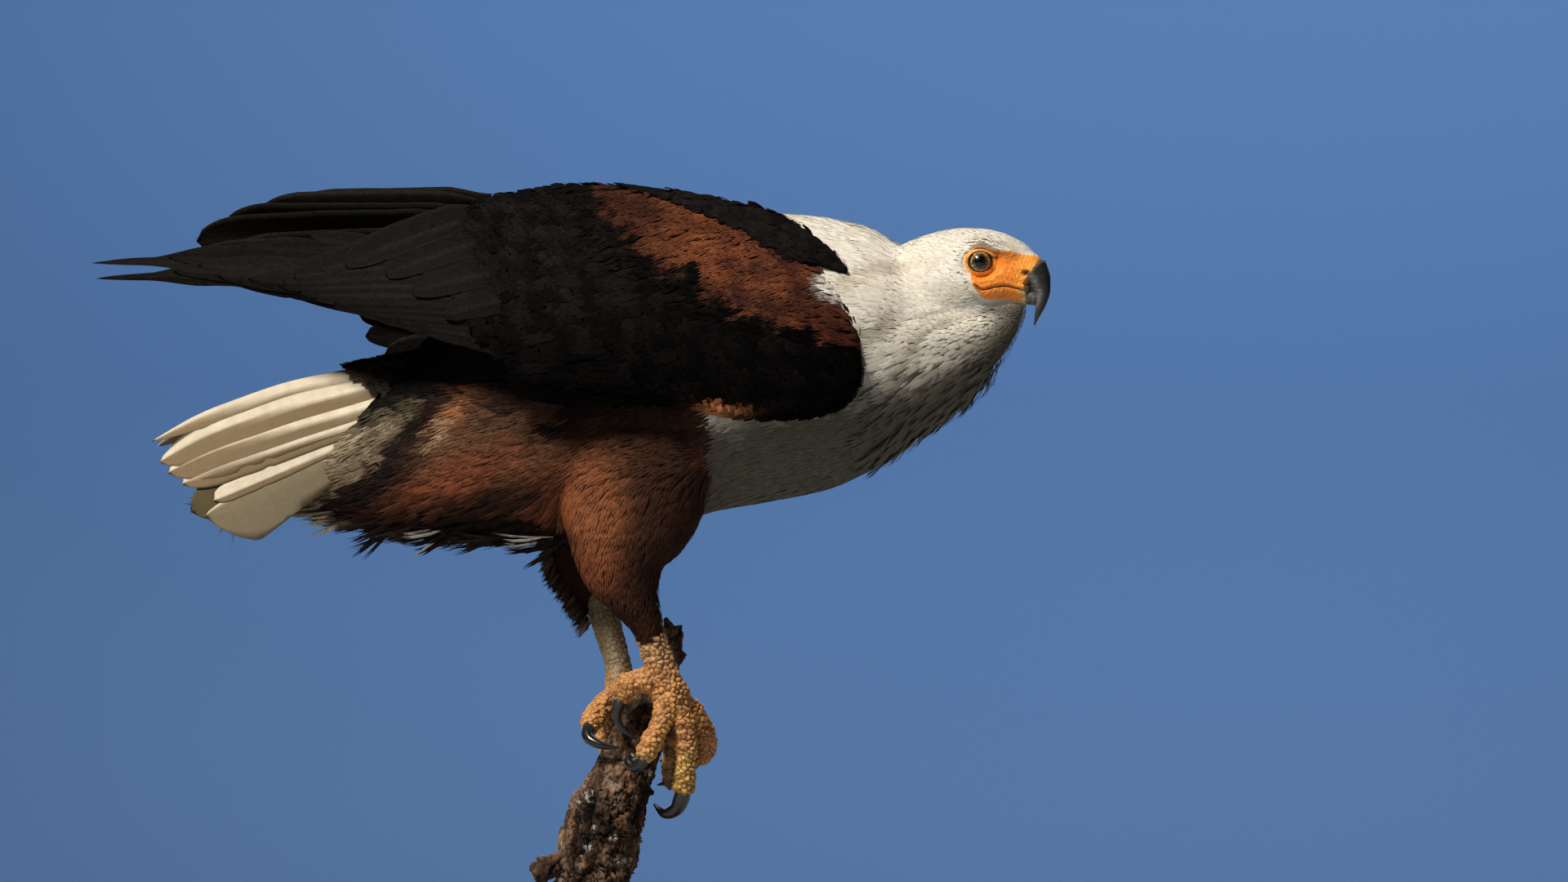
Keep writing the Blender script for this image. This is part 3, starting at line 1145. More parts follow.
class Coat:
    """Feathers gathered into one piece."""

    def __init__(self, name, material, slot, rough):
        self.name, self.material, self.slot, self.rough = name, material, slot, rough
        self.columns, self.triangles, self.count = ([], [], [], [], []), [], 0

    def add(self, vane, line, normals, widths, rise, colour, bake, camber=0.02, splay=0.06, fringe=0.0,
            shaft=0.0, lean=0.30):
        """rise is how far each feather's root and tip stand off its line; colour is one for each feather;
        fringe lightens its tip and edges, shaft darkens its middle, lean rounds its shading across."""
        rough, count, m = self.rough, len(line), len(vane.s)
        if count == 0:
            return
        reach = np.broadcast_to(vane.s, (count, m)).copy()
        ends = vane.s > 0.9
        reach[:, ends] += rough.normal(0, 0.035, (count, ends.sum()))
        centre, out = at_rows(line, vane.s), unit(at_rows(normals, vane.s))
        ahead = unit(at_rows(np.gradient(line, axis=1), vane.s))
        length = np.linalg.norm(np.diff(line, axis=1), axis=2).sum(1)[:, None]
        across = unit(np.cross(out, ahead))
        turn = rough.normal(0, splay, (count, 1, 1))
        centre = centre + ahead * ((reach - vane.s) * length)[..., None]
        centre = centre + across * turn * (vane.s * length)[..., None]
        half = (widths[:, None] / 2) * vane.u
        low, high = (np.broadcast_to(edge, count)[:, None] for edge in rise)
        lift = low + (high - low) * np.sin(held(vane.s) * math.pi / 2)
        tilt = rough.normal(0, 0.05, (count, 1))
        lift = lift - camber * widths[:, None] * vane.u**2 + tilt * half
        points = centre + across * half[..., None] + out * lift[..., None]
        lean = rough.normal(0, lean / 6, (count, 1)) + lean * vane.u
        facing = unit(out + across * lean[..., None] - ahead * 0.06)
        tone = 1 + fringe * held(vane.s) ** 3 + fringe * 0.5 * vane.u**2
        tone = tone * (1 - shaft * bell(vane.u, 0.3)) * (0.86 + 0.14 * smooth(0, 0.5, vane.s))
        tone = tone * (1 + rough.normal(0, 0.06, (count, 1)))
        place = bake[:, None, :] + BAKE_PATCH * np.stack([0.5 * vane.u, vane.s - 0.5], 1)
        barbs = np.stack([half, vane.s * length], 2)
        values = (points, colour[:, None, :] * tone[..., None], place, barbs, facing)
        for column, value in zip(self.columns, values):
            column.append(value.reshape(-1, value.shape[-1]))
        starts = np.arange(count) * m + self.count
        self.triangles.append((vane.triangles + starts[:, None, None]).reshape(-1, 3))
        self.count += count * m

    def show(self, nodes=()):
        points, colours, bake, barbs, facing = map(np.vstack, self.columns)
        mesh = vane_mesh(self.name, points, np.vstack(self.triangles), colours, bake, barbs)
        mesh.normals_split_custom_set_from_vertices(facing)
        show(self.name, mesh, [self.material], self.slot, nodes)


# --- the coat on the body ---


def lie_of_coat(points):
    """The way the feathers point at each place: back along the body, and down the legs."""
    x, y, z = points.T
    way = np.zeros_like(points)
    way[:, 0] = -1
    way[:, 2] = -0.42 * smooth(150, 60, x) * smooth(-260, -150, x) * smooth(470, 430, z) * smooth(350, 375, z)
    h = head_coordinates(points)
    on_head = smooth(30, 60, h[:, 0]) * (z > 500)
    from_bill = np.stack([-YAW_COS + 0 * x, -YAW_SIN + 0 * x, 0.004 * (z - 536)], 1)
    way = mixed(way, from_bill, on_head)
    throat = smooth(165, 230, x) * smooth(525, 470, z)
    way = mixed(way, np.stack([-0.8 + 0 * x, 0.0 * x, -0.6 + 0 * x], 1), 0.8 * throat)
    for side in SIDES:
        middle_x, middle_y = leg_middle(side, z)
        near = smooth(78, 52, np.hypot(x - middle_x - 2, y - middle_y)) * smooth(405, 372, z)
        near = near * (y * side > 4) * (np.abs(x) < 90)
        down = np.stack([-0.42 * smooth(290, 380, z), 0 * x, -1 + 0 * x], 1)
        way = mixed(way, down, near)
    return unit(way)


def body_region(points):
    """Which piece of the coat each root belongs to."""
    x, _, z = points.T
    h = head_coordinates(points)
    region = np.full(len(points), "flank", dtype="<U12")
    region[z > 470] = "back"
    edge = along([(340, 80), (440, 92), (520, 104), (600, 122)], z)[:, 0]
    region[x > edge] = "breast"
    region[(x > edge) & (z > 470)] = "neck"
    region[(x < -160) & (z < 470)] = "vent"
    for side, name in SIDES.items():
        region[on_leg(points, side, 372) & (x < edge) & (x > -75)] = "thigh_" + name
    region[(h[:, 0] > 12) & (z > 480 + 0.3 * (60 - h[:, 0]))] = "head"
    return region


def feather_gap(points):
    """How far apart the roots lie. 0 where nothing grows."""
    h = head_coordinates(points)
    z = points[:, 2]
    on_head = smooth(-10, 60, h[:, 0]) * smooth(485, 520, z)
    face = smooth(70, 100, h[:, 0]) * (z > 500)
    gap = 2.55 - 0.2 * smooth(90, 130, points[:, 0]) - 0.9 * on_head - 0.45 * face
    for side in SIDES:
        leg = (z < 372) & (points[:, 1] * side > 6) & (np.abs(points[:, 0]) < 75)
        gap = np.where(leg, 1.5 + 0.9 * smooth(ANKLE[side], 350, z), gap)
        gap = np.where((points[:, 1] * side > 0) & (z < ANKLE[side] + 7), 0, gap)
    under_wing = (np.abs(points[:, 1]) > 40) & (points[:, 0] > -60) & (points[:, 0] < 150)
    under_wing &= (z > 462) & (z < 570)
    gap = np.where(under_wing, 5.5, gap)
    return np.where(bareness(points) > 0.60, 0, gap)


# For each piece of the coat: feather, length where it is the same all over, width as a share of length,
# and rise at the tip as a share of the coat's depth.
REGION_FORMS = {
    "head": (HACKLE, None, 0.34, 0.95),
    "neck": (HACKLE, None, 0.24, 1.0),
    "breast": (HACKLE, 22.0, 0.30, 0.95),
    "back": (PLUME, 22.0, 0.36, 0.95),
    "flank": (HACKLE, 26.0, 0.22, 1.0),
    "vent": (HACKLE, 40.0, 0.13, 1.0),
    "thigh_right": (HACKLE, None, 0.26, 1.0),
    "thigh_left": (HACKLE, None, 0.26, 1.0),
}


def feather_length(name, points, length):
    """How long the feathers of one piece of the coat are at each root."""
    h = head_coordinates(points)
    if name == "head":
        near_face = smooth(7, 1, edge_distance(h[:, [0, 2]], BARE_FACE))
        return (3.0 + 7.5 * smooth(104, 30, h[:, 0])) * (1 - 0.25 * near_face)
    if name == "neck":
        return 15.0 + 11.0 * smooth(60, -30, h[:, 0])
    if name.startswith("thigh"):
        side = RIGHT if name.endswith("right") else LEFT
        return 5.0 + 12.0 * smooth(ANKLE[side] + 5, 350, points[:, 2])
    return np.full(len(points), length)


def grow_body_coat(body):
    """Short feathers all over the feathered skin, one piece for each region."""
    rough = np.random.default_rng(11)
    tree = surface_tree(body)
    roots, normals = scattered(body, feather_gap, rough)
    region = body_region(roots)
    for name, (vane, length, slim, share) in REGION_FORMS.items():
        at = region == name
        p, n = roots[at], normals[at]
        depth = coat_depth(p)
        size = feather_length(name, p, length) * rough.uniform(0.8, 1.2, len(p))
        line, out = traced(tree, p, n, lie_of_coat, size)
        loose = rough.random(len(p))
        high = depth * share * (0.94 + 0.08 * loose)
        throat = smooth(188, 206, p[:, 0]) * smooth(494, 474, p[:, 2]) * smooth(0.0, -0.4, n[:, 2])
        high = high + throat * (loose > 0.75) * rough.uniform(1, 6, len(p))
        if name == "head":
            high = np.maximum(high, 0.55)
        if name in ("vent", "flank"):
            low_side = smooth(-0.2, -0.8, n[:, 2]) * smooth(60, -60, p[:, 0])
            high = high + low_side * (loose > 0.80) * rough.uniform(2, 7, len(p))
        white = name in ("head", "neck", "breast")
        kind, slot = ("plumage_light", "white_plumage") if white else ("plumage_warm", "chestnut_plumage")
        coat = Coat("coat_" + name, kind, slot, rough)
        low = depth * (0.60 if white else 0.25) - 0.3
        coat.add(vane, line, out, size * slim, (low, high), body_colour(p), unwrapped(p),
                 splay=0.10, fringe=0.04, shaft=0.03, lean=0.12 if white else 0.25)
        coat.show()


# --- wings ---

# Flight feathers, seen from the side: root X, Z; tip X, Z; width; distance out from the wing's face.
# Each list starts with the feathers that lie lowest in the stack.
FLIGHT = {
    RIGHT: {
        "primaries": [
            (-96, 536, -219, 572, 17, -9.0), (-96, 540, -267, 565, 17, -8.6),
            (-96, 546, -303, 560, 18, -8.2), (-92, 548, -378, 552, 19, -7.6),
            (-90, 536, -375, 540, 19, -7.0), (-88, 532, -322, 556, 20, -6.5),
            (-86, 528, -318, 545, 21, -6.0), (-84, 522, -300, 549, 22, -5.6),
            (-82, 514, -285, 541, 23, -5.1), (-78, 506, -262, 538, 23, -4.7),
            (-74, 498, -240, 533, 24, -4.3),
        ],
        "secondaries": [
            (-24, 466, -76, 480, 22, -4.0), (-30, 470, -93, 487, 23, -3.6), (-36, 475, -113, 493, 24, -3.3),
            (-42, 481, -132, 498, 25, -2.9), (-48, 488, -150, 503, 25, -2.6), (-54, 495, -167, 508, 26, -2.2),
            (-60, 502, -183, 513, 26, -1.9), (-66, 509, -198, 518, 27, -1.5), (-72, 517, -212, 524, 27, -1.2),
            (-78, 526, -224, 529, 28, -0.8), (-84, 536, -236, 533, 28, -0.4), (-88, 548, -228, 538, 28, 0.0),
            (-90, 560, -208, 543, 27, 0.4),
        ],
        "tertials": [
            (-60, 520, -116, 506, 26, 0.6), (-66, 541, -140, 524, 27, 1.0), (-78, 566, -160, 538, 28, 1.4),
            (-86, 585, -190, 546, 26, 1.8),
        ],
    },
    LEFT: {
        "primaries": [
            (-96, 556, -219, 571, 17, -9.0), (-96, 556, -267, 566, 17, -8.6),
            (-96, 556, -303, 563, 18, -8.2), (-92, 552, -374, 558, 19, -7.6),
            (-90, 544, -368, 547, 19, -7.0), (-88, 538, -314, 556, 20, -6.5),
            (-86, 532, -310, 549, 21, -6.0), (-84, 524, -280, 543, 22, -5.4),
            (-80, 514, -240, 536, 23, -4.8),
        ],
        "secondaries": [
            (-24, 462, -84, 477, 22, -4.0), (-30, 468, -104, 484, 23, -3.6), (-36, 474, -130, 487, 24, -3.3),
            (-42, 480, -152, 489, 25, -2.9), (-48, 488, -170, 493, 25, -2.6), (-54, 498, -184, 507, 26, -2.2),
            (-60, 510, -188, 522, 27, -1.8), (-66, 522, -206, 534, 27, -1.4), (-72, 534, -226, 541, 28, -1.0),
            (-78, 546, -246, 548, 28, -0.6), (-82, 558, -264, 555, 28, -0.2), (-86, 570, -286, 563, 28, 0.2),
            (-90, 582, -308, 575, 27, 0.6),
        ],
        "tertials": [
            (-70, 562, -196, 556, 28, 1.0), (-80, 586, -288, 585, 26, 1.4), (-86, 596, -262, 594, 25, 1.8),
            (-88, 602, -236, 599, 22, 2.2),
        ],
    },
}
FINGER_LENGTH, FINGER_SHARE = 66.0, 0.30  # how far the two longest feathers are narrowed, and to what
LIE_LOW, LIE_HIGH = math.radians(5), math.radians(38)  # how steeply the coverts slope down and back
ARM_INSET, ARM_SHRINK = 4.2, 3.0  # how far the arm's inner form lies inside the wing's face and edge
MANTLE = (-104, 112, 40)  # rearmost and foremost X, half width
MANTLE_TRIES = 3400  # how many places are tried for its feathers
THIN = 0.45  # how thick a long feather's blade is
FLIGHT_TONE, FLIGHT_EDGE = (0.0068, 0.0056, 0.0048), (0.026, 0.022, 0.020)


def wing_points(side, x, z, lift=0.0, inset=0.0):
    """Places on the wing's outer face for arrays of X and Z."""
    x, z = np.asarray(x, float), np.asarray(z, float)
    upper, lower, near, far = along(WING_SKIN, x.ravel()).T.reshape(4, *x.shape)
    rise = lift * WING_LIFT * held((-60 - x) / 180) ** 1.2
    fall = np.clip((upper + rise - z) / (upper - lower), 0, 1.1)
    start, tuck = WING_TUCK
    out = near + (far - near) * np.sin(np.minimum(fall, 1) * math.pi / 2)
    out -= tuck * (np.maximum(0, fall - start) / (1 - start)) ** 2 * held((x + 70) / 70)
    return np.stack([x, side * (out - inset), z], -1)


def arm_outline(shrink=0.0):
    """The edge of the part of a wing that coverts grow on, drawn in by shrink."""
    outline = np.vstack([curve(ARM_FRONT, 60)[:-1], curve(ARM_LOWER, 16)[:-1], curve(COVERT_LINE, 20)[:-1]])
    ahead = np.roll(outline, -1, axis=0) - np.roll(outline, 1, axis=0)
    return outline + unit(np.stack([-ahead[:, 1], ahead[:, 0]], 1)) * -shrink


def panel(outline, surface, thickness, way, spacing):
    """A closed sheet on a surface, inside an outline of X and Z."""
    low, high = outline.min(0), outline.max(0)
    grid = np.array([(u, v) for u in np.arange(low[0], high[0], spacing)
                     for v in np.arange(low[1], high[1], spacing)])
    grid = grid[depth_in(grid, outline) > 0.5 * spacing]
    flat = [Vector(p) for p in np.vstack([outline, grid])]
    ring = [(i, (i + 1) % len(outline)) for i in range(len(outline))]
    verts, _, faces, *_ = delaunay_2d_cdt(flat, ring, [], 1, 1e-5)
    flat = np.array([tuple(v) for v in verts])
    outer = surface(flat[:, 0], flat[:, 1])
    inner = outer + unit(np.asarray(way, float)) * thickness(flat[:, 0], flat[:, 1])[:, None]
    count = len(flat)
    solid = [tuple(f) for f in faces] + [tuple(count + i for i in reversed(f)) for f in faces]
    once = {}
    for face in faces:
        for a, b in zip(face, [*face[1:], face[0]]):
            once[(a, b)] = True
    solid += [(a, count + a, count + b, b) for a, b in once if (b, a) not in once]
    mesh = bpy.data.meshes.new("panel")
    mesh.from_pydata([Vector(p) * MM for p in np.vstack([outer, inner])], [], solid)
    return faced_out(mesh)


def arm_depth(x, z):
    """How thick the inner form of the wing is: thickest at the shoulder, thin behind."""
    shoulder = np.hypot((x - 140) / 60, (z - 530) / 55)
    back = held((x + 112) / 90)
    return 1.6 + 7.5 * back + 22 * bell(shoulder, 1)


def wing_unwrap(points):
    """The wing's own flat unwrap: its outer side, and beside it its inner side."""
    x, y, z = points.T
    face = np.stack([0.02 + 0.6 * (x + 400) / 600, 0.02 + 0.44 * (z - 425) / 200], 1)
    inner = np.abs(y) < along([(x0, (near + far) / 2 - 8) for x0, _, _, near, far in WING_SKIN], x)[:, 0]
    return face + np.stack([0 * x, 0.5 * inner], 1)


def coverts_way(points):
    """The way the coverts point: back, and steeper down towards the upper edge."""
    slope = LIE_LOW + (LIE_HIGH - LIE_LOW) * smooth(445, 560, points[:, 2])
    slope = slope * smooth(205, 120, points[:, 0] + 0.5 * (points[:, 2] - 520))
    return np.stack([-np.cos(slope), 0 * slope, -np.sin(slope)], 1)


def form_on_wing(name, side, outline, inset, thickness, spacing, voxel, smoothing, colour_of):
    """A thin form that lies on the wing inside an outline, for feathers to grow on."""
    sheet = panel(outline, lambda x, z: wing_points(side, x, z, 0, inset), thickness, (0, -side, -0.25),
                  spacing)
    form = remeshed([sheet], voxel, smoothing)
    points = points_of(form)
    form.shade_smooth()
    show(f"{name}_{SIDES[side]}", form, ["under_coat"], "black_plumage", (), colour_of(points),
         wing_unwrap(points))
    return form


def grow_arm(side):
    """The wing's coverts on a thin inner form that follows its arm."""
    name, rough = SIDES[side], np.random.default_rng(21 + side)
    shape = form_on_wing("wing_form", side, arm_outline(ARM_SHRINK), ARM_INSET, arm_depth, 5.0, 1.8, 6,
                         lambda p: wing_colour(p[:, 0], p[:, 2]) * 0.6)

    def from_front(p):
        return held(edge_distance(p[:, [0, 2]], curve(ARM_FRONT, 30), closed=False) / 110)

    def softness(p):
        return smooth(-14, 0, depth_in(p[:, [0, 2]], RUFOUS_BAND))

    def gap(p):
        soft = softness(p)
        return (2.3 + 2.3 * from_front(p)) * (1 - soft) + 2.2 * soft

    roots, normals = scattered(shape, gap, rough)
    outer = normals[:, 1] * side > 0.3
    soft, t = softness(roots) * outer, from_front(roots)
    size = np.where(outer, 12 + 42 * t * (1 - soft) + 6 * soft, 9.0) * rough.uniform(0.85, 1.15, len(roots))
    tips = roots + coverts_way(roots) * size[:, None]
    limit = np.where(outer, -2.0 - 4 * rough.random(len(roots)), 1.0)
    keep = depth_in(tips[:, [0, 2]], arm_outline()) > limit
    roots, normals, size, t, outer, soft = (v[keep] for v in (roots, normals, size, t, outer, soft))
    line, out = traced(surface_tree(shape), roots, normals, coverts_way, size)
    coat = Coat(f"coat_wing_{name}", "plumage_dark", "black_plumage", rough)
    colour = wing_colour(line[:, -1, 0], line[:, -1, 2])
    high = np.where(outer, ARM_INSET + 0.4, 2.2) * rough.uniform(0.97, 1.03, len(roots))
    kinds = ((SCALE, soft <= 0.5, 5.0 + 17 * t, 0.04), (HACKLE, soft > 0.5, 4.4 + 0 * t, 0.12))
    for vane, at, wide, splay in kinds:
        coat.add(vane, line[at], out[at], wide[at], (-0.2, high[at]), colour[at], wing_unwrap(roots[at]),
                 camber=0.03, splay=splay, fringe=0.15, shaft=0.08)
    coat.show([f"wing_{name}_coverts"])


def grow_scapulars(side):
    """The black strip over the shoulder, which stands a little off the coverts."""
    name, rough = SIDES[side], np.random.default_rng(31 + side)
    outline = curve([*SCAPULARS, SCAPULARS[0]], 60)[:-1]
    shape = form_on_wing("scapular_form", side, outline, -1.4, lambda x, z: 2.6 + 0 * x, 4.0, 1.4, 3,
                         lambda p: np.tile(np.array(BLACK) * 0.7, (len(p), 1)))
    roots, normals = scattered(shape, lambda p: 2.6 + 0 * p[:, 0], rough)
    upper_edge = SCAPULARS[:8]

    def way(p):
        rise = (along(upper_edge, p[:, 0] - 10) - along(upper_edge, p[:, 0] + 10))[:, 0]
        return unit(np.stack([-20 + 0 * rise, 0 * rise, rise * 0.85 - 5], 1))

    size = rough.uniform(10, 17, len(roots)) * (1 - 0.45 * smooth(120, 175, roots[:, 0]))
    tips = roots + way(roots) * size[:, None]
    near_edge = tips[:, 2] > along(upper_edge, tips[:, 0])[:, 0] - 8
    keep = depth_in(tips[:, [0, 2]], outline) > np.where(near_edge, 3.0, -2.5)
    roots, normals, size = roots[keep], normals[keep], size[keep]
    line, out = traced(surface_tree(shape), roots, normals, way, size)
    colour = mixed(BLACK, (0.015, 0.012, 0.011), held(0.4 + 0.4 * ripple(roots, 14, 61)))
    coat = Coat(f"coat_scapulars_{name}", "plumage_dark", "black_plumage", rough)
    coat.add(SCALE, line, out, 0.36 * size, (-0.2, 1.8), colour, wing_unwrap(roots), splay=0.05,
             fringe=0.25, shaft=0.1)
    coat.show([f"scapulars_{name}"])


def grow_mantle():
    """Long black feathers of the back, arched over the hollow between the folded wings."""
    rough = np.random.default_rng(41)
    rear, front, half = MANTLE
    x, y = rough.uniform(rear + 34, front + 34, MANTLE_TRIES), rough.uniform(-half, half, MANTLE_TRIES)
    keep = spread(np.stack([x, y, 0 * x], 1), 3.4, rough)
    x, y = x[keep], y[keep]
    size = rough.uniform(30, 42, len(x)) * (1 - 0.35 * smooth(60, 140, x))
    line_x = x[:, None] - size[:, None] * STEPS
    line_y = y[:, None] * (1 - 0.06 * STEPS)
    crown = along([(x0, upper) for x0, upper, *_ in WING_SKIN], line_x.ravel()).reshape(line_x.shape)
    trunk = along([(x0, top) for x0, top, *_ in TRUNK_SECTIONS], line_x.ravel()).reshape(line_x.shape)
    crown = np.maximum(crown - 9.5, trunk - 3.5)
    line_z = crown - 2.0 * (1 - (line_y / half) ** 2) - 7 * (1 - STEPS) ** 1.5
    line = np.stack([line_x, line_y, line_z - 12 * smooth(-60, -110, line_x)], 2)
    out = np.broadcast_to(unit(np.array([0.1, 0, 1.0])), line.shape)
    tips = line[:, -1]
    colour = mixed(BLACK, (0.013, 0.011, 0.010), held(0.4 + 0.4 * ripple(tips, 20, 62)))
    colour = mixed(colour, WHITE, smooth(96, 112, tips[:, 0] + 6 * ripple(tips, 12, 63)))
    coat = Coat("coat_mantle", "plumage_dark", "black_plumage", rough)
    coat.add(SCALE, line, out, 0.34 * size, (0.0, 0.8), colour, unwrapped(line[:, 0]), splay=0.04,
             fringe=0.2, shaft=0.1)
    coat.show()


class Quills:
    """Long vanes of the wings and tail, each a thin closed blade with a raised shaft."""

    ROWS, ACROSS = 44, 9

    def __init__(self, name, material, slot, rough):
        self.name, self.material, self.slot, self.rough = name, material, slot, rough
        self.points, self.triangles, self.colours, self.cells, self.barbs = [], [], [], [], []

    def blade(self):
        """The triangles of one blade, whose upper layer of points comes first."""
        grid = np.arange(self.ROWS * self.ACROSS).reshape(self.ROWS, self.ACROSS)
        quads = np.stack([grid[:-1, :-1], grid[:-1, 1:], grid[1:, 1:], grid[1:, :-1]], -1).reshape(-1, 4)
        rim = np.r_[grid[0], grid[1:, -1], grid[-1, -2::-1], grid[-2:0:-1, 0]]
        after, m = np.roll(rim, -1), grid.size
        faces = np.vstack([quads, quads[:, ::-1] + m, np.stack([rim, rim + m, after + m, after], 1)])
        return np.vstack([faces[:, [0, 1, 2]], faces[:, [0, 2, 3]]])

    def add(self, place, lead_share, width, tone, length, edge_tone, ragged, tip_round, tip_form,
            finger=None, edge_from=0.8, edge_grows=0.0, shaft_tone=1.6):
        """place(s, across) gives the points and outward normals; across is in millimetres off the
        shaft, with the leading vane below 0."""
        rough, rows = self.rough, self.ROWS
        s, u = np.linspace(0, 1, rows) ** 0.92, np.linspace(-1, 1, self.ACROSS)
        blunt = tip_round * width / length
        end = held((s - (1 - blunt)) / blunt)
        profile = held(1 - end**2.2) ** tip_form * (0.55 + 0.45 * smooth(0, 0.25, s))
        if finger:
            reach, share = finger
            profile *= share + (1 - share) * smooth(1 - reach / length * 0.55, 1 - reach / length * 1.25, s)
        wear = 1 + 0.022 * np.cumsum(rough.normal(0, ragged, rows)) / 3
        nick = rough.random(rows) < 0.05 * ragged
        lead = width * lead_share * profile * wear
        trail = width * (1 - lead_share) * profile * (1 - 0.10 * nick) * wear[::-1]
        across = np.where(u < 0, u * lead[:, None], u * trail[:, None])
        points, normals = place(np.repeat(s[:, None], self.ACROSS, 1), across)
        shaft = bell(u, 0.16) * (1 - 0.7 * s)[:, None] * 0.7
        lift = shaft - 0.05 * np.abs(across)
        self.triangles.append(self.blade() + len(self.points) * across.size)
        self.points += [(points + normals * (lift + half)[..., None]).reshape(-1, 3)
                        for half in (THIN / 2, -THIN / 2)]
        grain = 1 + 0.10 * rough.normal(0, 1, (rows, 1)) * 0.4
        pale = 1 + shaft_tone * shaft + 0.25 * (np.abs(u) > 0.95)
        start = edge_from - edge_grows * smooth(0.3, 0.9, s)[:, None]
        share = 0.92 * smooth(0, 0.3, u - start) + 0.35 * smooth(-0.84, -1.0, u)
        colour = mixed(np.asarray(tone, float) * (grain * pale)[..., None], edge_tone, share)
        self.colours += [colour.reshape(-1, 3)] * 2
        cell = np.stack(np.broadcast_arrays(0.5 + 0.4 * u, 0.02 + 0.46 * s[:, None]), -1).reshape(-1, 2)
        self.cells.append((cell, cell + (0, 0.5)))
        barb = np.stack([across, np.broadcast_to(s[:, None] * length, across.shape)], -1).reshape(-1, 2)
        self.barbs += [barb, barb]

    def show(self, nodes=()):
        count = len(self.cells)
        bake = [np.array([i / count, 0]) + cell * (1 / count, 1) for i, pair in enumerate(self.cells)
                for cell in pair]
        parts = (self.points, self.triangles, self.colours, bake, self.barbs)
        show(self.name, vane_mesh(self.name, *map(np.vstack, parts)), [self.material], self.slot, nodes)


def wing_quill(side, root, tip, out, lift, bow):
    """A function that lays a blade on the wing from its root to its tip, seen from the side."""
    root, tip = np.array(root, float), np.array(tip, float)
    ahead = (tip - root) / np.linalg.norm(tip - root)
    up = np.array([ahead[1], -ahead[0]]) if ahead[0] < 0 else np.array([-ahead[1], ahead[0]])

    def place(s, across):
        sag = bow * np.sin(held(s) * math.pi)
        flat = root + (tip - root) * s[..., None] + up * (across * -1 + sag)[..., None]
        grow = out + 1.2 * s - 6.0 * held(1 - s / 0.35) ** 1.5
        x, z = flat[..., 0], flat[..., 1]
        here = wing_points(side, x, z, lift, -grow)
        down = wing_points(side, x, z - 2, lift, -grow)
        back = wing_points(side, x - 2, z, lift, -grow)
        normal = unit(np.cross(down - here, back - here))
        normal *= np.sign(normal[..., 1:2] * side)
        return here, normal
    return place


def make_flight(side):
    """The wing's long feathers. The two longest primaries end in narrowed fingers."""
    rough = np.random.default_rng(51 + side)
    for group, tip_round, tip_form in (("primaries", 3.0, 0.8), ("secondaries", 1.5, 0.5)):
        blades = Quills(f"{group}_{SIDES[side]}", "plumage_flight", "black_plumage", rough)
        rows = FLIGHT[side][group] + (FLIGHT[side]["tertials"] if group == "secondaries" else [])
        lift = 1.0 if side == LEFT and group == "secondaries" else 0.0
        for index, (x0, z0, x1, z1, width, out) in enumerate(rows):
            longest = group == "primaries" and index in (3, 4)
            tone = np.array(FLIGHT_TONE) * rough.uniform(0.8, 1.25)
            place = wing_quill(side, (x0, z0), (x1, z1), out, lift, rough.uniform(0.5, 2.0))
            blades.add(place, 0.66, width, tone, math.hypot(x1 - x0, z1 - z0), FLIGHT_EDGE, 0.9,
                       tip_round, tip_form, finger=(FINGER_LENGTH, FINGER_SHARE) if longest else None)
        blades.show([f"wing_{SIDES[side]}_{group}"])


# --- tail ---

TAIL_LENGTH = 226.0
# Each tail feather's place across the fan at its root and at its tip, how far it reaches, its width,
# the share of that inside its shaft, where the shaded part of its outer vane begins, and its tones.
UNDER, SHADED = (0.085, 0.064, 0.032), (0.15, 0.098, 0.042)
RECTRICES = [
    (-1.06, -0.84, 1.00, 24, 0.50, 0.3, UNDER, UNDER), (0.88, 0.92, 0.985, 19, 0.5, 0.1, CREAM, SHADED),
    (-1.16, -0.91, 0.97, 19, 0.16, -0.35, CREAM, (0.150, 0.118, 0.068)),
    (0.70, 0.76, 0.99, 19, 0.5, 0.1, CREAM, SHADED),
    (-1.10, -0.86, 0.915, 6.5, 0.6, 0.3, CREAM, SHADED), (0.52, 0.60, 0.995, 19, 0.5, 0.1, CREAM, SHADED),
    (-1.00, -0.66, 0.975, 13, 0.55, 0.15, CREAM, SHADED), (0.34, 0.42, 1.0, 19, 0.5, 0.1, CREAM, SHADED),
    (-0.86, -0.53, 0.995, 18, 0.42, 0.05, CREAM, SHADED), (0.16, 0.24, 1.0, 20, 0.5, 0.1, CREAM, SHADED),
    (-0.57, -0.41, 1.00, 21, 0.42, 0.02, CREAM, SHADED), (-0.04, -0.03, 0.995, 35, 0.42, 0.62, CREAM, SHADED),
]


def tail_points(reach, across):
    """Places on the tail's fan for arrays, as reach from 0 at the root to 1, and across from -1 to 1."""
    reach, across = np.broadcast_arrays(np.asarray(reach, float), np.asarray(across, float))
    flat = np.clip(reach, -0.1, 1).ravel()
    middle = along(TAIL_MIDDLE, flat).reshape(*reach.shape, 2)
    outer = along(TAIL_OUTER, flat).reshape(*reach.shape, 2)
    half = along(TAIL_HALF_WIDTH, flat).reshape(reach.shape)
    angle = np.abs(across) * TAIL_ARCH
    drop = (1 - np.cos(angle)) / (1 - math.cos(TAIL_ARCH))
    aside = half * np.sin(angle) / math.sin(TAIL_ARCH) * np.sign(across)
    rolled = math.sin(TAIL_ROLL) * (aside - TAIL_HALF_WIDTH[-1][1] * reach * drop)
    x = middle[..., 0] + (outer[..., 0] - middle[..., 0]) * drop
    z = middle[..., 1] + (outer[..., 1] - middle[..., 1]) * drop * 0.82 + rolled
    return np.stack([x, aside * math.cos(TAIL_ROLL), z], -1)


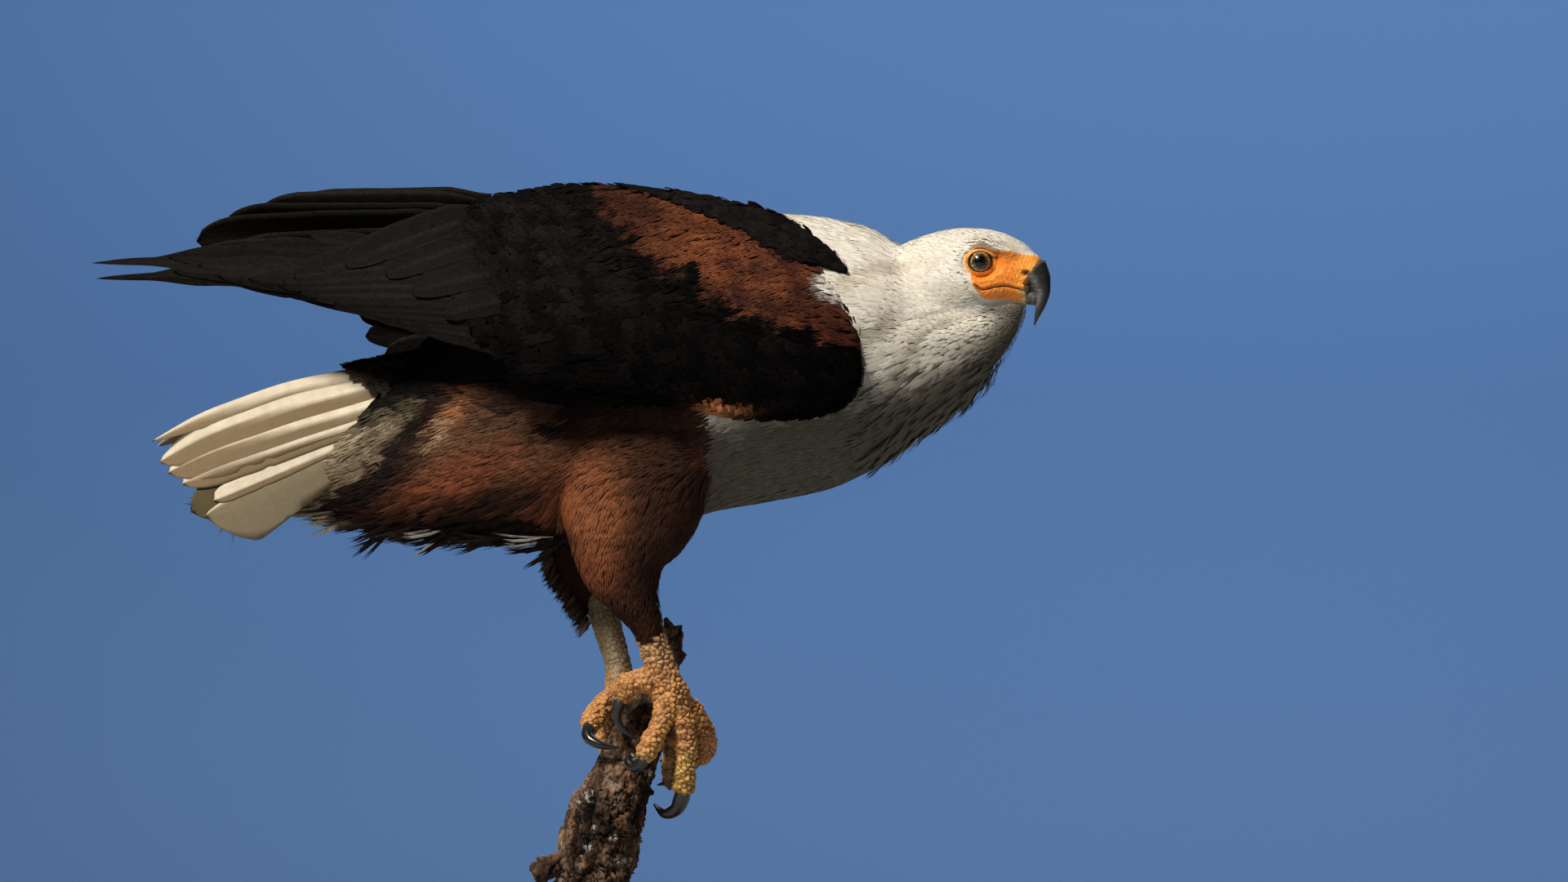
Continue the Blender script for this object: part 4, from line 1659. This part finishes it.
def fan_normals(reach, across):
    """Places on the tail's fan and the way its upper side faces there."""
    here = tail_points(reach, across)
    back = tail_points(reach + 0.02, across) - tail_points(reach - 0.02, across)
    aside = tail_points(reach, across + 0.02) - tail_points(reach, across - 0.02)
    return here, unit(np.cross(aside, back))


def make_tail():
    """The fan's twelve feathers, from the lowest in the stack to the one on top."""
    rough = np.random.default_rng(71)
    blades = Quills("tail_feathers", "plumage_tail", "white_plumage", rough)
    wide = along(TAIL_HALF_WIDTH, 0.8)[0, 0] * 1.35
    for index, (base, tip, reach_end, width, inner, shaded, tone, edge) in enumerate(RECTRICES):
        layer = -3.6 + 0.62 * (index // 2) + (1.0 if index == 11 else 0)
        side = math.copysign(1, base)

        def place(s, across, base=base, tip=tip, reach_end=reach_end, layer=layer, side=side):
            reach = -0.02 + (reach_end + 0.02) * s
            spot = base + (tip - base) * s + side * across / wide
            here, normal = fan_normals(reach, np.clip(spot, -1.2, 1.12))
            return here + normal * (layer - 0.03 * np.maximum(across, 0))[..., None], normal

        tone = np.array(tone) * rough.uniform(0.94, 1.04)
        blades.add(place, inner, width, tone, TAIL_LENGTH, edge, 1.0, 2.4, 0.7, edge_from=shaded,
                   edge_grows=0.35, shaft_tone=0.25)
    blades.show(["tail"])


def fan_feathers(coat, vane, count, low, high, sizes, lift, colour_of, width_share, below=False):
    """Small feathers in rows on the fan's upper side or under it, from their tips' reach."""
    rough = coat.rough
    across = rough.uniform(-0.98, 0.98, count)
    limit = high * (1 - 0.60 * np.abs(across) ** 2.2)
    tip = low + (limit - low) * rough.random(count) ** 0.8
    size = rough.uniform(*sizes, count)
    order = spread(np.stack([tip * TAIL_LENGTH, across * 42, 0 * tip], 1), 3.2, rough)
    across, tip, size = across[order], tip[order], size[order]
    reach = tip[:, None] - size[:, None] / TAIL_LENGTH * (1 - STEPS)
    here, normal = fan_normals(reach, across[:, None] * (0.85 + 0.15 * STEPS))
    if below:
        normal = -normal
    offset = lift[0] + (lift[1] - lift[0]) * STEPS
    line = here + normal * offset[None, :, None]
    turn = np.arctan2(line[:, 0, 1], 40.0) / (2 * math.pi) + 0.5
    bake = np.stack([0.02 + 0.66 * held(turn + 0.3 * below), 0.02 + 0.3 * tip], 1)
    coat.add(vane, line, normal, size * width_share, (0.0, 0.8), colour_of(line[:, -1]), bake,
             camber=0.08, fringe=0.15, shaft=0.08)


def make_tail_coverts():
    rough = np.random.default_rng(72)
    coat = Coat("coat_uppertail", "plumage_dark", "black_plumage", rough)

    def dark(p):
        rusty = held(0.2 + 0.6 * ripple(p, 12, 64)) * smooth(-160, -200, p[:, 0])
        return mixed(mixed(BLACK, (0.045, 0.034, 0.028), 0.4 + 0.4 * ripple(p, 18, 65)),
                     (0.09, 0.035, 0.02), 0.5 * rusty)

    fan_feathers(coat, SCALE, 3000, -0.04, 0.355, (26, 36), (-1.0, 5.4), dark, 0.42)
    coat.show(["uppertail_coverts"])
    coat = Coat("coat_undertail", "plumage_warm", "chestnut_plumage", rough)

    def pale(p):
        return mixed((0.36, 0.29, 0.19), (0.62, 0.54, 0.40), held(0.5 + 0.6 * ripple(p, 16, 66)))

    fan_feathers(coat, HACKLE, 2600, 0.05, 0.62, (30, 46), (2.0, 7.0), pale, 0.18, below=True)
    coat.show()


# Loose feathers that stick out of the lower edge: root X, Y, Z; tip X, Y, Z; width; colour; how many.
WISPS = [
    ((-178, -8, 372), (-221, -12, 366), 4.0, TAN, 9),
    ((-168, -14, 370), (-205, -16, 360), 4.5, (0.06, 0.045, 0.03), 8),
    ((-152, -18, 368), (-192, -20, 353), 4.0, (0.018, 0.012, 0.010), 9),
    ((-150, -10, 366), (-184, -12, 336), 3.2, (0.022, 0.015, 0.012), 6),
    ((-132, -16, 362), (-168, -18, 349), 3.5, (0.03, 0.022, 0.016), 7),
    ((-118, -20, 359), (-150, -22, 350), 2.4, (0.42, 0.40, 0.36), 4),
    ((-112, -14, 355), (-146, -16, 347), 4.0, (0.018, 0.012, 0.010), 8),
    ((-76, -22, 352), (-110, -24, 346), 3.6, (0.020, 0.014, 0.010), 8),
    ((-46, -24, 350), (-79, -26, 347), 2.2, (0.36, 0.34, 0.31), 4),
    ((-36, -20, 347), (-72, -22, 342), 3.8, (0.018, 0.012, 0.010), 8),
    ((-236, -6, 386), (-262, -8, 366), 4.0, (0.50, 0.43, 0.30), 8),
    ((-214, -10, 380), (-248, -12, 364), 4.0, (0.34, 0.28, 0.19), 8),
]
FLUFF_COUNT = 170  # how many small dark feathers stick out behind the left thigh


def make_wisps():
    """Loose feathers along the lower edge, and the dark fluff behind the left thigh."""
    rough = np.random.default_rng(73)
    coat = Coat("coat_wisps", "plumage_warm", "chestnut_plumage", rough)

    def grow(line, facing, widths, colour, splay):
        out = np.broadcast_to(unit(np.array(facing)), line.shape)
        coat.add(HACKLE, line, out, widths, (0.0, 1.0), colour, unwrapped(line[:, 0]), camber=0.2,
                 splay=splay, fringe=0.1)

    for root, tip, width, colour, count in WISPS:
        start = np.array(root) + rough.normal(0, (5, 5, 1.5), (count, 3))
        end = np.array(tip) + rough.normal(0, (5, 4, 3), (count, 3))
        line = start[:, None] + (end - start)[:, None] * STEPS[:, None]
        line[:, :, 2] -= 1.5 * np.sin(STEPS * math.pi)
        grow(line, (0.2, -0.9, -0.4), width * rough.uniform(0.7, 1.3, count),
             np.tile(np.array(colour), (count, 1)), 0.15)
    count = FLUFF_COUNT
    height = rough.uniform(290, 348, count)
    middle_x, middle_y = leg_middle(LEFT, height)
    back = along([(z, r) for _, _, z, r, _ in THIGHS[LEFT]], height)[:, 0]
    start = np.stack([middle_x - 0.85 * back, middle_y + rough.normal(-6, 7, count), height], 1)
    way = unit(np.stack([rough.uniform(-0.85, -0.25, count), rough.normal(0, 0.1, count),
                         rough.uniform(-1.1, -0.6, count)], 1))
    line = start[:, None] + way[:, None] * (rough.uniform(9, 17, count)[:, None] * STEPS)[..., None]
    tone = mixed((0.016, 0.010, 0.008), (0.11, 0.07, 0.05), rough.random(count) ** 2)
    grow(line, (-0.5, -0.8, 0.0), rough.uniform(1.6, 3.2, count), tone, 0.2)
    coat.show()


# --- eyes, bill, claws ---


def make_eye(side):
    """The eyeball with its bulging cornea. Its layer `ring` is the distance from the line of sight."""
    centre, axes = eye_frame(side)
    turn = np.linspace(0, 2 * math.pi, 96, endpoint=False)
    rings = []
    for t in np.linspace(0.02, math.pi - 0.02, 64):
        radius, ahead = EYE_RADIUS * math.sin(t), EYE_DEPTH * math.cos(t) + 0.7 * bell(t, 0.5)
        local = np.stack([radius * np.cos(turn), radius * np.sin(turn), np.full(96, ahead)], 1)
        rings.append(from_head(local @ axes + centre))
    mesh = lofted("eye", rings)
    u, v, w = eye_coordinates(head_coordinates(points_of(mesh)), side).T
    ring = np.where(w > 0, np.hypot(u, v) / EYE_RADIUS, 1.0)
    layer = mesh.attributes.new("ring", "FLOAT", "POINT")
    layer.data.foreach_set("value", ring.astype(np.float32))
    show(f"eyeball_{SIDES[side]}", mesh, ["eye"], "eye_glass", [f"eye_{SIDES[side]}"])


def bill_tube(table, sides, count, squareness):
    """A bill part from its table, a little square across below so that the cutting edges show."""
    rows = [(forward, 0, height, half_height, half_width)
            for forward, height, half_width, half_height in table]
    rings = tube_rings(rows, sides, count)
    middle = rings.mean(1, keepdims=True)
    rel = rings - middle
    size = np.linalg.norm(rel, axis=2, keepdims=True)
    flank = np.abs(rel[..., 1:2]) / np.maximum(size, 1e-6)
    rel = rel * (1 + squareness * np.sin(flank * math.pi) ** 2)
    return middle + rel


def make_upper_bill():
    """The hooked horn, cut off along the front of the cere."""
    forward, lean = CERE_FACE
    rings = bill_tube(BILL_UPPER, 48, 70, 0.05)
    mesh = lofted("bill_upper_horn", [from_head(ring) for ring in rings])
    bm = bmesh.new()
    bm.from_mesh(mesh)
    start = head_point(forward - 0.8, 0, 545) * MM
    ahead = Vector((math.cos(lean) * YAW_COS, math.cos(lean) * YAW_SIN, -math.sin(lean)))
    bmesh.ops.bisect_plane(bm, geom=bm.verts[:] + bm.edges[:] + bm.faces[:], plane_co=start,
                           plane_no=ahead, clear_inner=True)
    bmesh.ops.triangulate(bm, faces=bm.faces[:])
    bm.to_mesh(mesh)
    bm.free()
    points = points_of(mesh)
    h = head_coordinates(points)
    ridge = along([(z, a) for a, z, _, r in BILL_UPPER], h[:, 2])[:, 0]
    near_ridge = smooth(1.5, 5.5, h[:, 0] - ridge + 2.0)
    tip = smooth(526, 512, h[:, 2])
    mottle = ripple(points, 4, 81) * 0.5 + ripple(points, 1.8, 82) * 0.5
    grey = mixed((0.045, 0.044, 0.042), (0.150, 0.145, 0.135), held(0.5 + 1.0 * mottle))
    colour = mixed(grey, (0.010, 0.010, 0.010), held(near_ridge + 0.75 * tip))
    line = (h[:, 0] - forward) * math.cos(lean) - (h[:, 2] - 545) * math.sin(lean)
    colour = mixed(colour, (0.30, 0.25, 0.17), 0.55 * smooth(1.6, 0.0, line))
    bake = np.stack([0.5 + np.arctan2(h[:, 1], h[:, 0] - 96) / 6.3, (h[:, 2] - 500) / 70], 1)
    mesh.shade_smooth()
    show("bill_upper_horn", mesh, ["horn"], "bill_horn", ["bill_upper"], colour, bake)


def make_lower_bill():
    """The lower half of the bill, orange behind and horn in front."""
    rings = bill_tube(BILL_LOWER, 40, 40, 0.06)
    mesh = lofted("bill_lower_horn", [from_head(ring) for ring in rings])
    points = points_of(mesh)
    h = head_coordinates(points)
    colour = mixed(ORANGE, (0.55, 0.40, 0.22), smooth(97, 102, h[:, 0]))
    mottle = ripple(points, 3, 83)
    grey = mixed((0.040, 0.039, 0.037), (0.095, 0.092, 0.086), held(0.5 + 1.0 * mottle))
    colour = mixed(colour, grey, smooth(101.0, 103.5, h[:, 0] + 0.25 * (524 - h[:, 2])))
    bake = np.stack([(h[:, 0] - 88) / 26, 0.5 + np.arctan2(h[:, 1], h[:, 2] - 524.5) / 6.3], 1)
    show("bill_lower_horn", mesh, ["horn"], "bill_horn", ["bill_lower"], colour, bake)


def make_claws():
    """The talons, each from the end of its toe."""
    sides, count = 20, 34
    for side, name in SIDES.items():
        for toe, (toe_rows, claw_rows) in TOES[side].items():
            root = [*toe_rows[-1][:3], toe_rows[-1][3] * 0.74]
            mesh = lofted("claw", tube_rings([root, *claw_rows], sides, count, (0.1, 1, 0)))
            reach = np.r_[np.repeat(np.linspace(0, 1, count), sides), 0, 1]
            turn = np.r_[np.tile(np.arange(sides) / sides, count), 0.5, 0.5]
            pale = smooth(0.30, 0.12, reach) * 0.35
            show(f"talon_{name}_{toe}", mesh, ["claw"], "claw_horn", [f"claw_{name}_{toe}"],
                 mixed((0.010, 0.010, 0.011), (0.06, 0.055, 0.05), pale),
                 np.stack([0.05 + 0.9 * turn, 0.05 + 0.9 * reach], 1))


# --- perch and stand ---

PERCH = [
    (-24, 0, 56, 24), (-18, 0, 80, 24.5), (-10, 0, 104, 25.5), (-3.5, 1, 141, 27.5), (11, 1, 178, 22.5),
    (20, 2, 200, 21), (27, 2, 215, 20), (37, 3, 236, 14.5), (44, 4, 256, 9.5), (48, 5, 275, 8),
    (50, 5, 288, 5),
]
PERCH_STUB = [(-22, -4, 110, 9), (-38, -7, 112, 8), (-52, -8, 106, 6)]
PERCH_KNOBS = [[(46, 5, 272, 6), (52, 4, 282, 4.5), (53, 4, 289, 2.5)],
               [(46, 5, 280, 6), (43.5, 4, 289, 4.5), (42, 3, 294, 2)],
               [(44, 4, 258, 7), (53, 3, 264, 4.5), (58, 3, 267, 2)]]
PERCH_CUT, PERCH_VOXEL = 70.0, 1.15
BASE_RADIUS, BASE_HEIGHT = 130.0, 18.0
ROD_RADIUS, ROD_COLLAR, ROD_SPACING = 5.0, 9.0, 26.0


def make_perch():
    """Dead wood with long torn ridges, flakes and hollows, sawn flat at its foot."""
    parts = [lofted("bough", tube_rings(PERCH, 64, 120)), lofted("stub", tube_rings(PERCH_STUB, 32, 24))]
    parts += [lofted("knob", tube_rings(rows, 16, 8)) for rows in PERCH_KNOBS]
    mesh = remeshed(parts, PERCH_VOXEL, 2)
    points, normals = points_of(mesh), normals_of(mesh)
    rough = np.random.default_rng(90)
    line = along([(z, x, y) for x, y, z, _ in PERCH], points[:, 2])
    turn = np.arctan2(points[:, 1] - line[:, 1], points[:, 0] - line[:, 0])
    order = rough.permutation(len(points))[:SCALE_TRIES]
    slabs = order[spread(points[order], 11.0, rough)]
    chips = order[spread(points[order], 3.6, rough)]
    slab, slab_number = cells(points + 2.5 * ripple(points, 5, 91)[:, None], points[slabs], (1, 1, 1.9))
    chip, chip_number = cells(points + 0.8 * ripple(points, 2.5, 92)[:, None], points[chips], (1, 1, 1.4))
    height = rough.uniform(-1.9, 1.9, len(slabs))[slab_number]
    small = rough.uniform(-0.8, 0.8, len(chips))[chip_number]
    fine = ripple(points, 2.6, 94, (0.8, 0.8, 2.0))
    grip = smooth(3, 10, np.min([np.linalg.norm(points - np.array(row[:3]), axis=1) - row[3]
                                 for side in SIDES for rows, _ in TOES[side].values() for row in rows], 0))
    bark = smooth(178, 164, points[:, 2] + 7 * ripple(points, 16, 95))
    cracks = -2.4 * smooth(1.6, 0.0, slab) - 0.9 * smooth(0.7, 0.0, chip)
    deep = bark * (height + small + cracks + 2.2) + (1 - bark) * (0.8 * small + 0.5 * cracks) + 0.5 * fine
    size = along([(z, r) for _, _, z, r in PERCH], points[:, 2])[:, 0]
    points += normals * (deep * (0.25 + 0.75 * grip) * np.clip(size / 20, 0.7, 1) - 1.0)[:, None]
    points[:, 2] = np.maximum(points[:, 2], PERCH_CUT)
    set_points(mesh, points)
    open_wood = smooth(0.5, 3.0, slab) * smooth(0.2, 1.2, chip)
    shade = np.clip(0.20 + 0.65 * open_wood + 0.16 * height * bark + 0.2 * small, 0.06, 1.3)
    shade *= 1 + 0.55 * (1 - bark)
    sawn = points[:, 2] < PERCH_CUT + 0.05
    warm = mixed((1.0, 1.0, 1.0), (1.0, 0.82, 0.66), held(ripple(points, 22, 96)))
    colour = np.where(sawn[:, None], 0.9, held(shade)[:, None] * warm)
    bake = np.stack([0.5 + turn / (2 * math.pi), (points[:, 2] - 65) / 230], 1)
    mesh.shade_smooth()
    show("bough", mesh, ["bark"], "dead_wood", ["perch"], colour, bake)


def turned(name, profile, sides, x=0.0):
    """A solid of revolution about an upright axis, from (radius, height) pairs, bottom to top."""
    turn = np.linspace(0, 2 * math.pi, sides, endpoint=False)
    rings = [np.stack([x + r * np.cos(turn), r * np.sin(turn), np.full(sides, h)], 1) for r, h in profile]
    mesh = lofted(name, rings)
    mesh.shade_smooth()
    return mesh


def make_stand():
    """A round base with a bead and a cove at its edge, and two collared rods up into the perch."""
    r, h = BASE_RADIUS, BASE_HEIGHT
    bead = [(r - 2.4 + 2.4 * math.sin(a), 4.5 - 3.8 * math.cos(a))
            for a in np.linspace(0.2, math.pi - 0.3, 12)]
    cove = [(r - 3.2 - 4.8 * math.sin(a), 9.0 + 7.5 * (1 - math.cos(a))) for a in np.linspace(0, 1.45, 10)]
    profile = [(r - 6, 0), (r - 3.2, 0.0), *bead, *cove, (r - 10, h - 0.3), (r - 12, h), (r - 40, h), (1, h)]
    base = turned("pedestal", profile, 160)
    points = points_of(base)
    radius = np.hypot(points[:, 0], points[:, 1])
    flat = 0.5 + 0.45 * points[:, :2] / BASE_RADIUS * (0.8 + 0.2 * radius / BASE_RADIUS)[:, None]
    base.set_sharp_from_angle(angle=math.radians(40))
    show("pedestal", base, ["stand_wood"], "stand_wood", ["stand_base"], np.ones((len(points), 3)), flat)
    foot_x = along([(row[2], row[0]) for row in PERCH], PERCH_CUT)[0, 0]
    low, high = BASE_HEIGHT + 0.05, PERCH_CUT + 1.5
    profile = [(ROD_COLLAR - 0.6, low), (ROD_COLLAR, low + 0.6), (ROD_COLLAR, low + 4.2),
               (ROD_COLLAR - 1.2, low + 5.8), (ROD_RADIUS + 0.4, low + 5.9), (ROD_RADIUS, low + 6.4),
               (ROD_RADIUS, high)]
    for index, offset in enumerate((-ROD_SPACING / 2, ROD_SPACING / 2), start=1):
        rod = turned("rod", profile, 48, foot_x + offset)
        points = points_of(rod)
        turn = np.arctan2(points[:, 1], points[:, 0] - foot_x - offset)
        rod.set_sharp_from_angle(angle=math.radians(35))
        show(f"rod_{index}", rod, ["steel"], "stand_steel", [f"stand_rod_{index}"],
             bake=np.stack([0.5 + turn / 6.3, (points[:, 2] - 10) / 70], 1))


# --- stage ---

AIM, CAMERA_DISTANCE, CAMERA_ELEVATION, LENS = (0.129, 0.0, 0.423), 4.48, math.radians(-4.5), 140.0
FLOOR_END, BEND = 7.4, 1.2  # where the floor starts to bend up into the wall, and its radius, in metres
WALL_TOP, WALL_HALF = 6.0, 9.0  # the wall's height and half width, in metres
SKY, SKY_STRENGTH = (0.62, 0.72, 0.88, 1), 0.04  # the faint light from all sides


def area_light(name, place, aim, size, power, colour):
    """A rectangular lamp that faces its aim."""
    data = bpy.data.lights.new(name, "AREA")
    data.shape, data.size, data.size_y = "RECTANGLE", size[0], size[1]
    data.energy, data.color = power, colour
    obj = new_object(name, data)
    obj.location = place
    obj.rotation_euler = (Vector(aim) - Vector(place)).to_track_quat("-Z", "Y").to_euler()
    return obj


def set_stage():
    """A pale floor that sweeps up into a plain soft wall, the lights, and the camera."""
    bend = [(FLOOR_END + BEND * math.sin(a), BEND * (1 - math.cos(a)))
            for a in np.linspace(0.15, math.pi / 2, 12)]
    rise = [(-8.0, 0.0), (FLOOR_END, 0.0), *bend, (FLOOR_END + BEND, WALL_TOP)]
    points = [(x, y, z - 0.0002) for y, z in rise for x in (-WALL_HALF, WALL_HALF)]
    faces = [(2 * i, 2 * i + 1, 2 * i + 3, 2 * i + 2) for i in range(len(rise) - 1)]
    mesh = bpy.data.meshes.new("sweep")
    mesh.from_pydata(points, [], faces)
    mesh.shade_smooth()
    shader = Shader("studio_paper", Roughness=0.95, Specular_IOR_Level=0.1)
    height = shader.add("SeparateXYZ", {0: shader.place()}).outputs[2]
    shader.colour(shader.ramp(shader.math("MULTIPLY", height, 0.8), (0.0, (0.46, 0.47, 0.48)),
                              (0.10, (0.13, 0.235, 0.47)), (1.0, (0.11, 0.22, 0.48))))
    mesh.materials.append(shader.material)
    sweep = new_object("sweep", mesh)
    key = area_light("key", (-1.35, -2.15, 3.05), (0.02, 0, 0.45), (0.65, 0.65), 185, (1.0, 0.945, 0.86))
    fill = area_light("fill", (2.6, -2.6, 1.0), (0.05, 0, 0.42), (1.8, 1.8), 2, (0.86, 0.92, 1.0))
    back = area_light("back", (0.9, 1.7, 2.3), (0.1, 0, 0.5), (1.6, 0.6), 9, (0.95, 0.97, 1.0))
    wall = area_light("wall", (1.0, 5.6, 3.2), (0.7, 8.6, 1.1), (7.0, 0.8), 134, (0.95, 1.02, 0.98))
    far = area_light("far", (-0.9, 3.4, 1.3), (0.0, 0, 0.40), (2.4, 1.4), 14, (0.97, 0.98, 1.0))
    world = bpy.data.worlds.new("soft")
    world.use_nodes = True
    light = world.node_tree.nodes["Background"].inputs
    light[0].default_value, light[1].default_value = SKY, SKY_STRENGTH
    bpy.context.scene.world = world
    data = bpy.data.cameras.new("camera")
    data.lens, data.sensor_width = LENS, 36.0
    data.clip_start, data.clip_end = 0.1, 50.0
    camera = new_object("camera", data)
    away = Vector((0, -math.cos(CAMERA_ELEVATION), math.sin(CAMERA_ELEVATION)))
    camera.location = Vector(AIM) + away * CAMERA_DISTANCE
    camera.rotation_euler = (-away).to_track_quat("-Z", "Y").to_euler()
    bpy.context.scene.camera = camera
    view = bpy.context.scene.view_settings
    view.view_transform, view.look, view.exposure = "Standard", "None", 0.0


# --- the whole ---

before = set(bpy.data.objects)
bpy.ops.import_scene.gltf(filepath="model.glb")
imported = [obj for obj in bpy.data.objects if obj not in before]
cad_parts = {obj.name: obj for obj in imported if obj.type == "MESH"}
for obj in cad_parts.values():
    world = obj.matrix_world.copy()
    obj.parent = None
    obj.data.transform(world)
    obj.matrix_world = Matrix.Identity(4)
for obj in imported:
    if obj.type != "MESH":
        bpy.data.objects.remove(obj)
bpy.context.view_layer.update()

MATERIALS = {
    "plumage_light": plumage_material("plumage_light", 0.80, 0.04, 0.10, 0.06, 0.16),
    "plumage_warm": plumage_material("plumage_warm", 0.75, 0.0, 0.03, 0.30, 0.50),
    "plumage_dark": plumage_material("plumage_dark", 0.70, 0.0, 0.012, 0.30, 0.55),
    "plumage_flight": plumage_material("plumage_flight", 0.60, 0.0, 0.02, 0.45, 0.60),
    "plumage_tail": plumage_material("plumage_tail", 0.72, 0.03, 0.10, 0.14, 0.10),
    "under_coat": under_coat_material(),
    "face_skin": bare_skin_material("face_skin", 900.0, 0.42),
    "leg_skin": bare_skin_material("leg_skin", 420.0, 0.5),
    "horn": horn_material("horn", 0.50, 0.06),
    "claw": horn_material("claw", 0.24, 0.25),
    "eye": eye_material(),
    "bark": bark_material(),
    "stand_wood": stand_wood_material(),
    "steel": steel_material(),
}

grow_body_coat(make_skin())
for side in SIDES:
    grow_arm(side)
    grow_scapulars(side)
    make_flight(side)
    make_eye(side)
grow_mantle()
make_tail()
make_tail_coverts()
make_wisps()
make_upper_bill()
make_lower_bill()
make_claws()
make_perch()
make_stand()
set_stage()
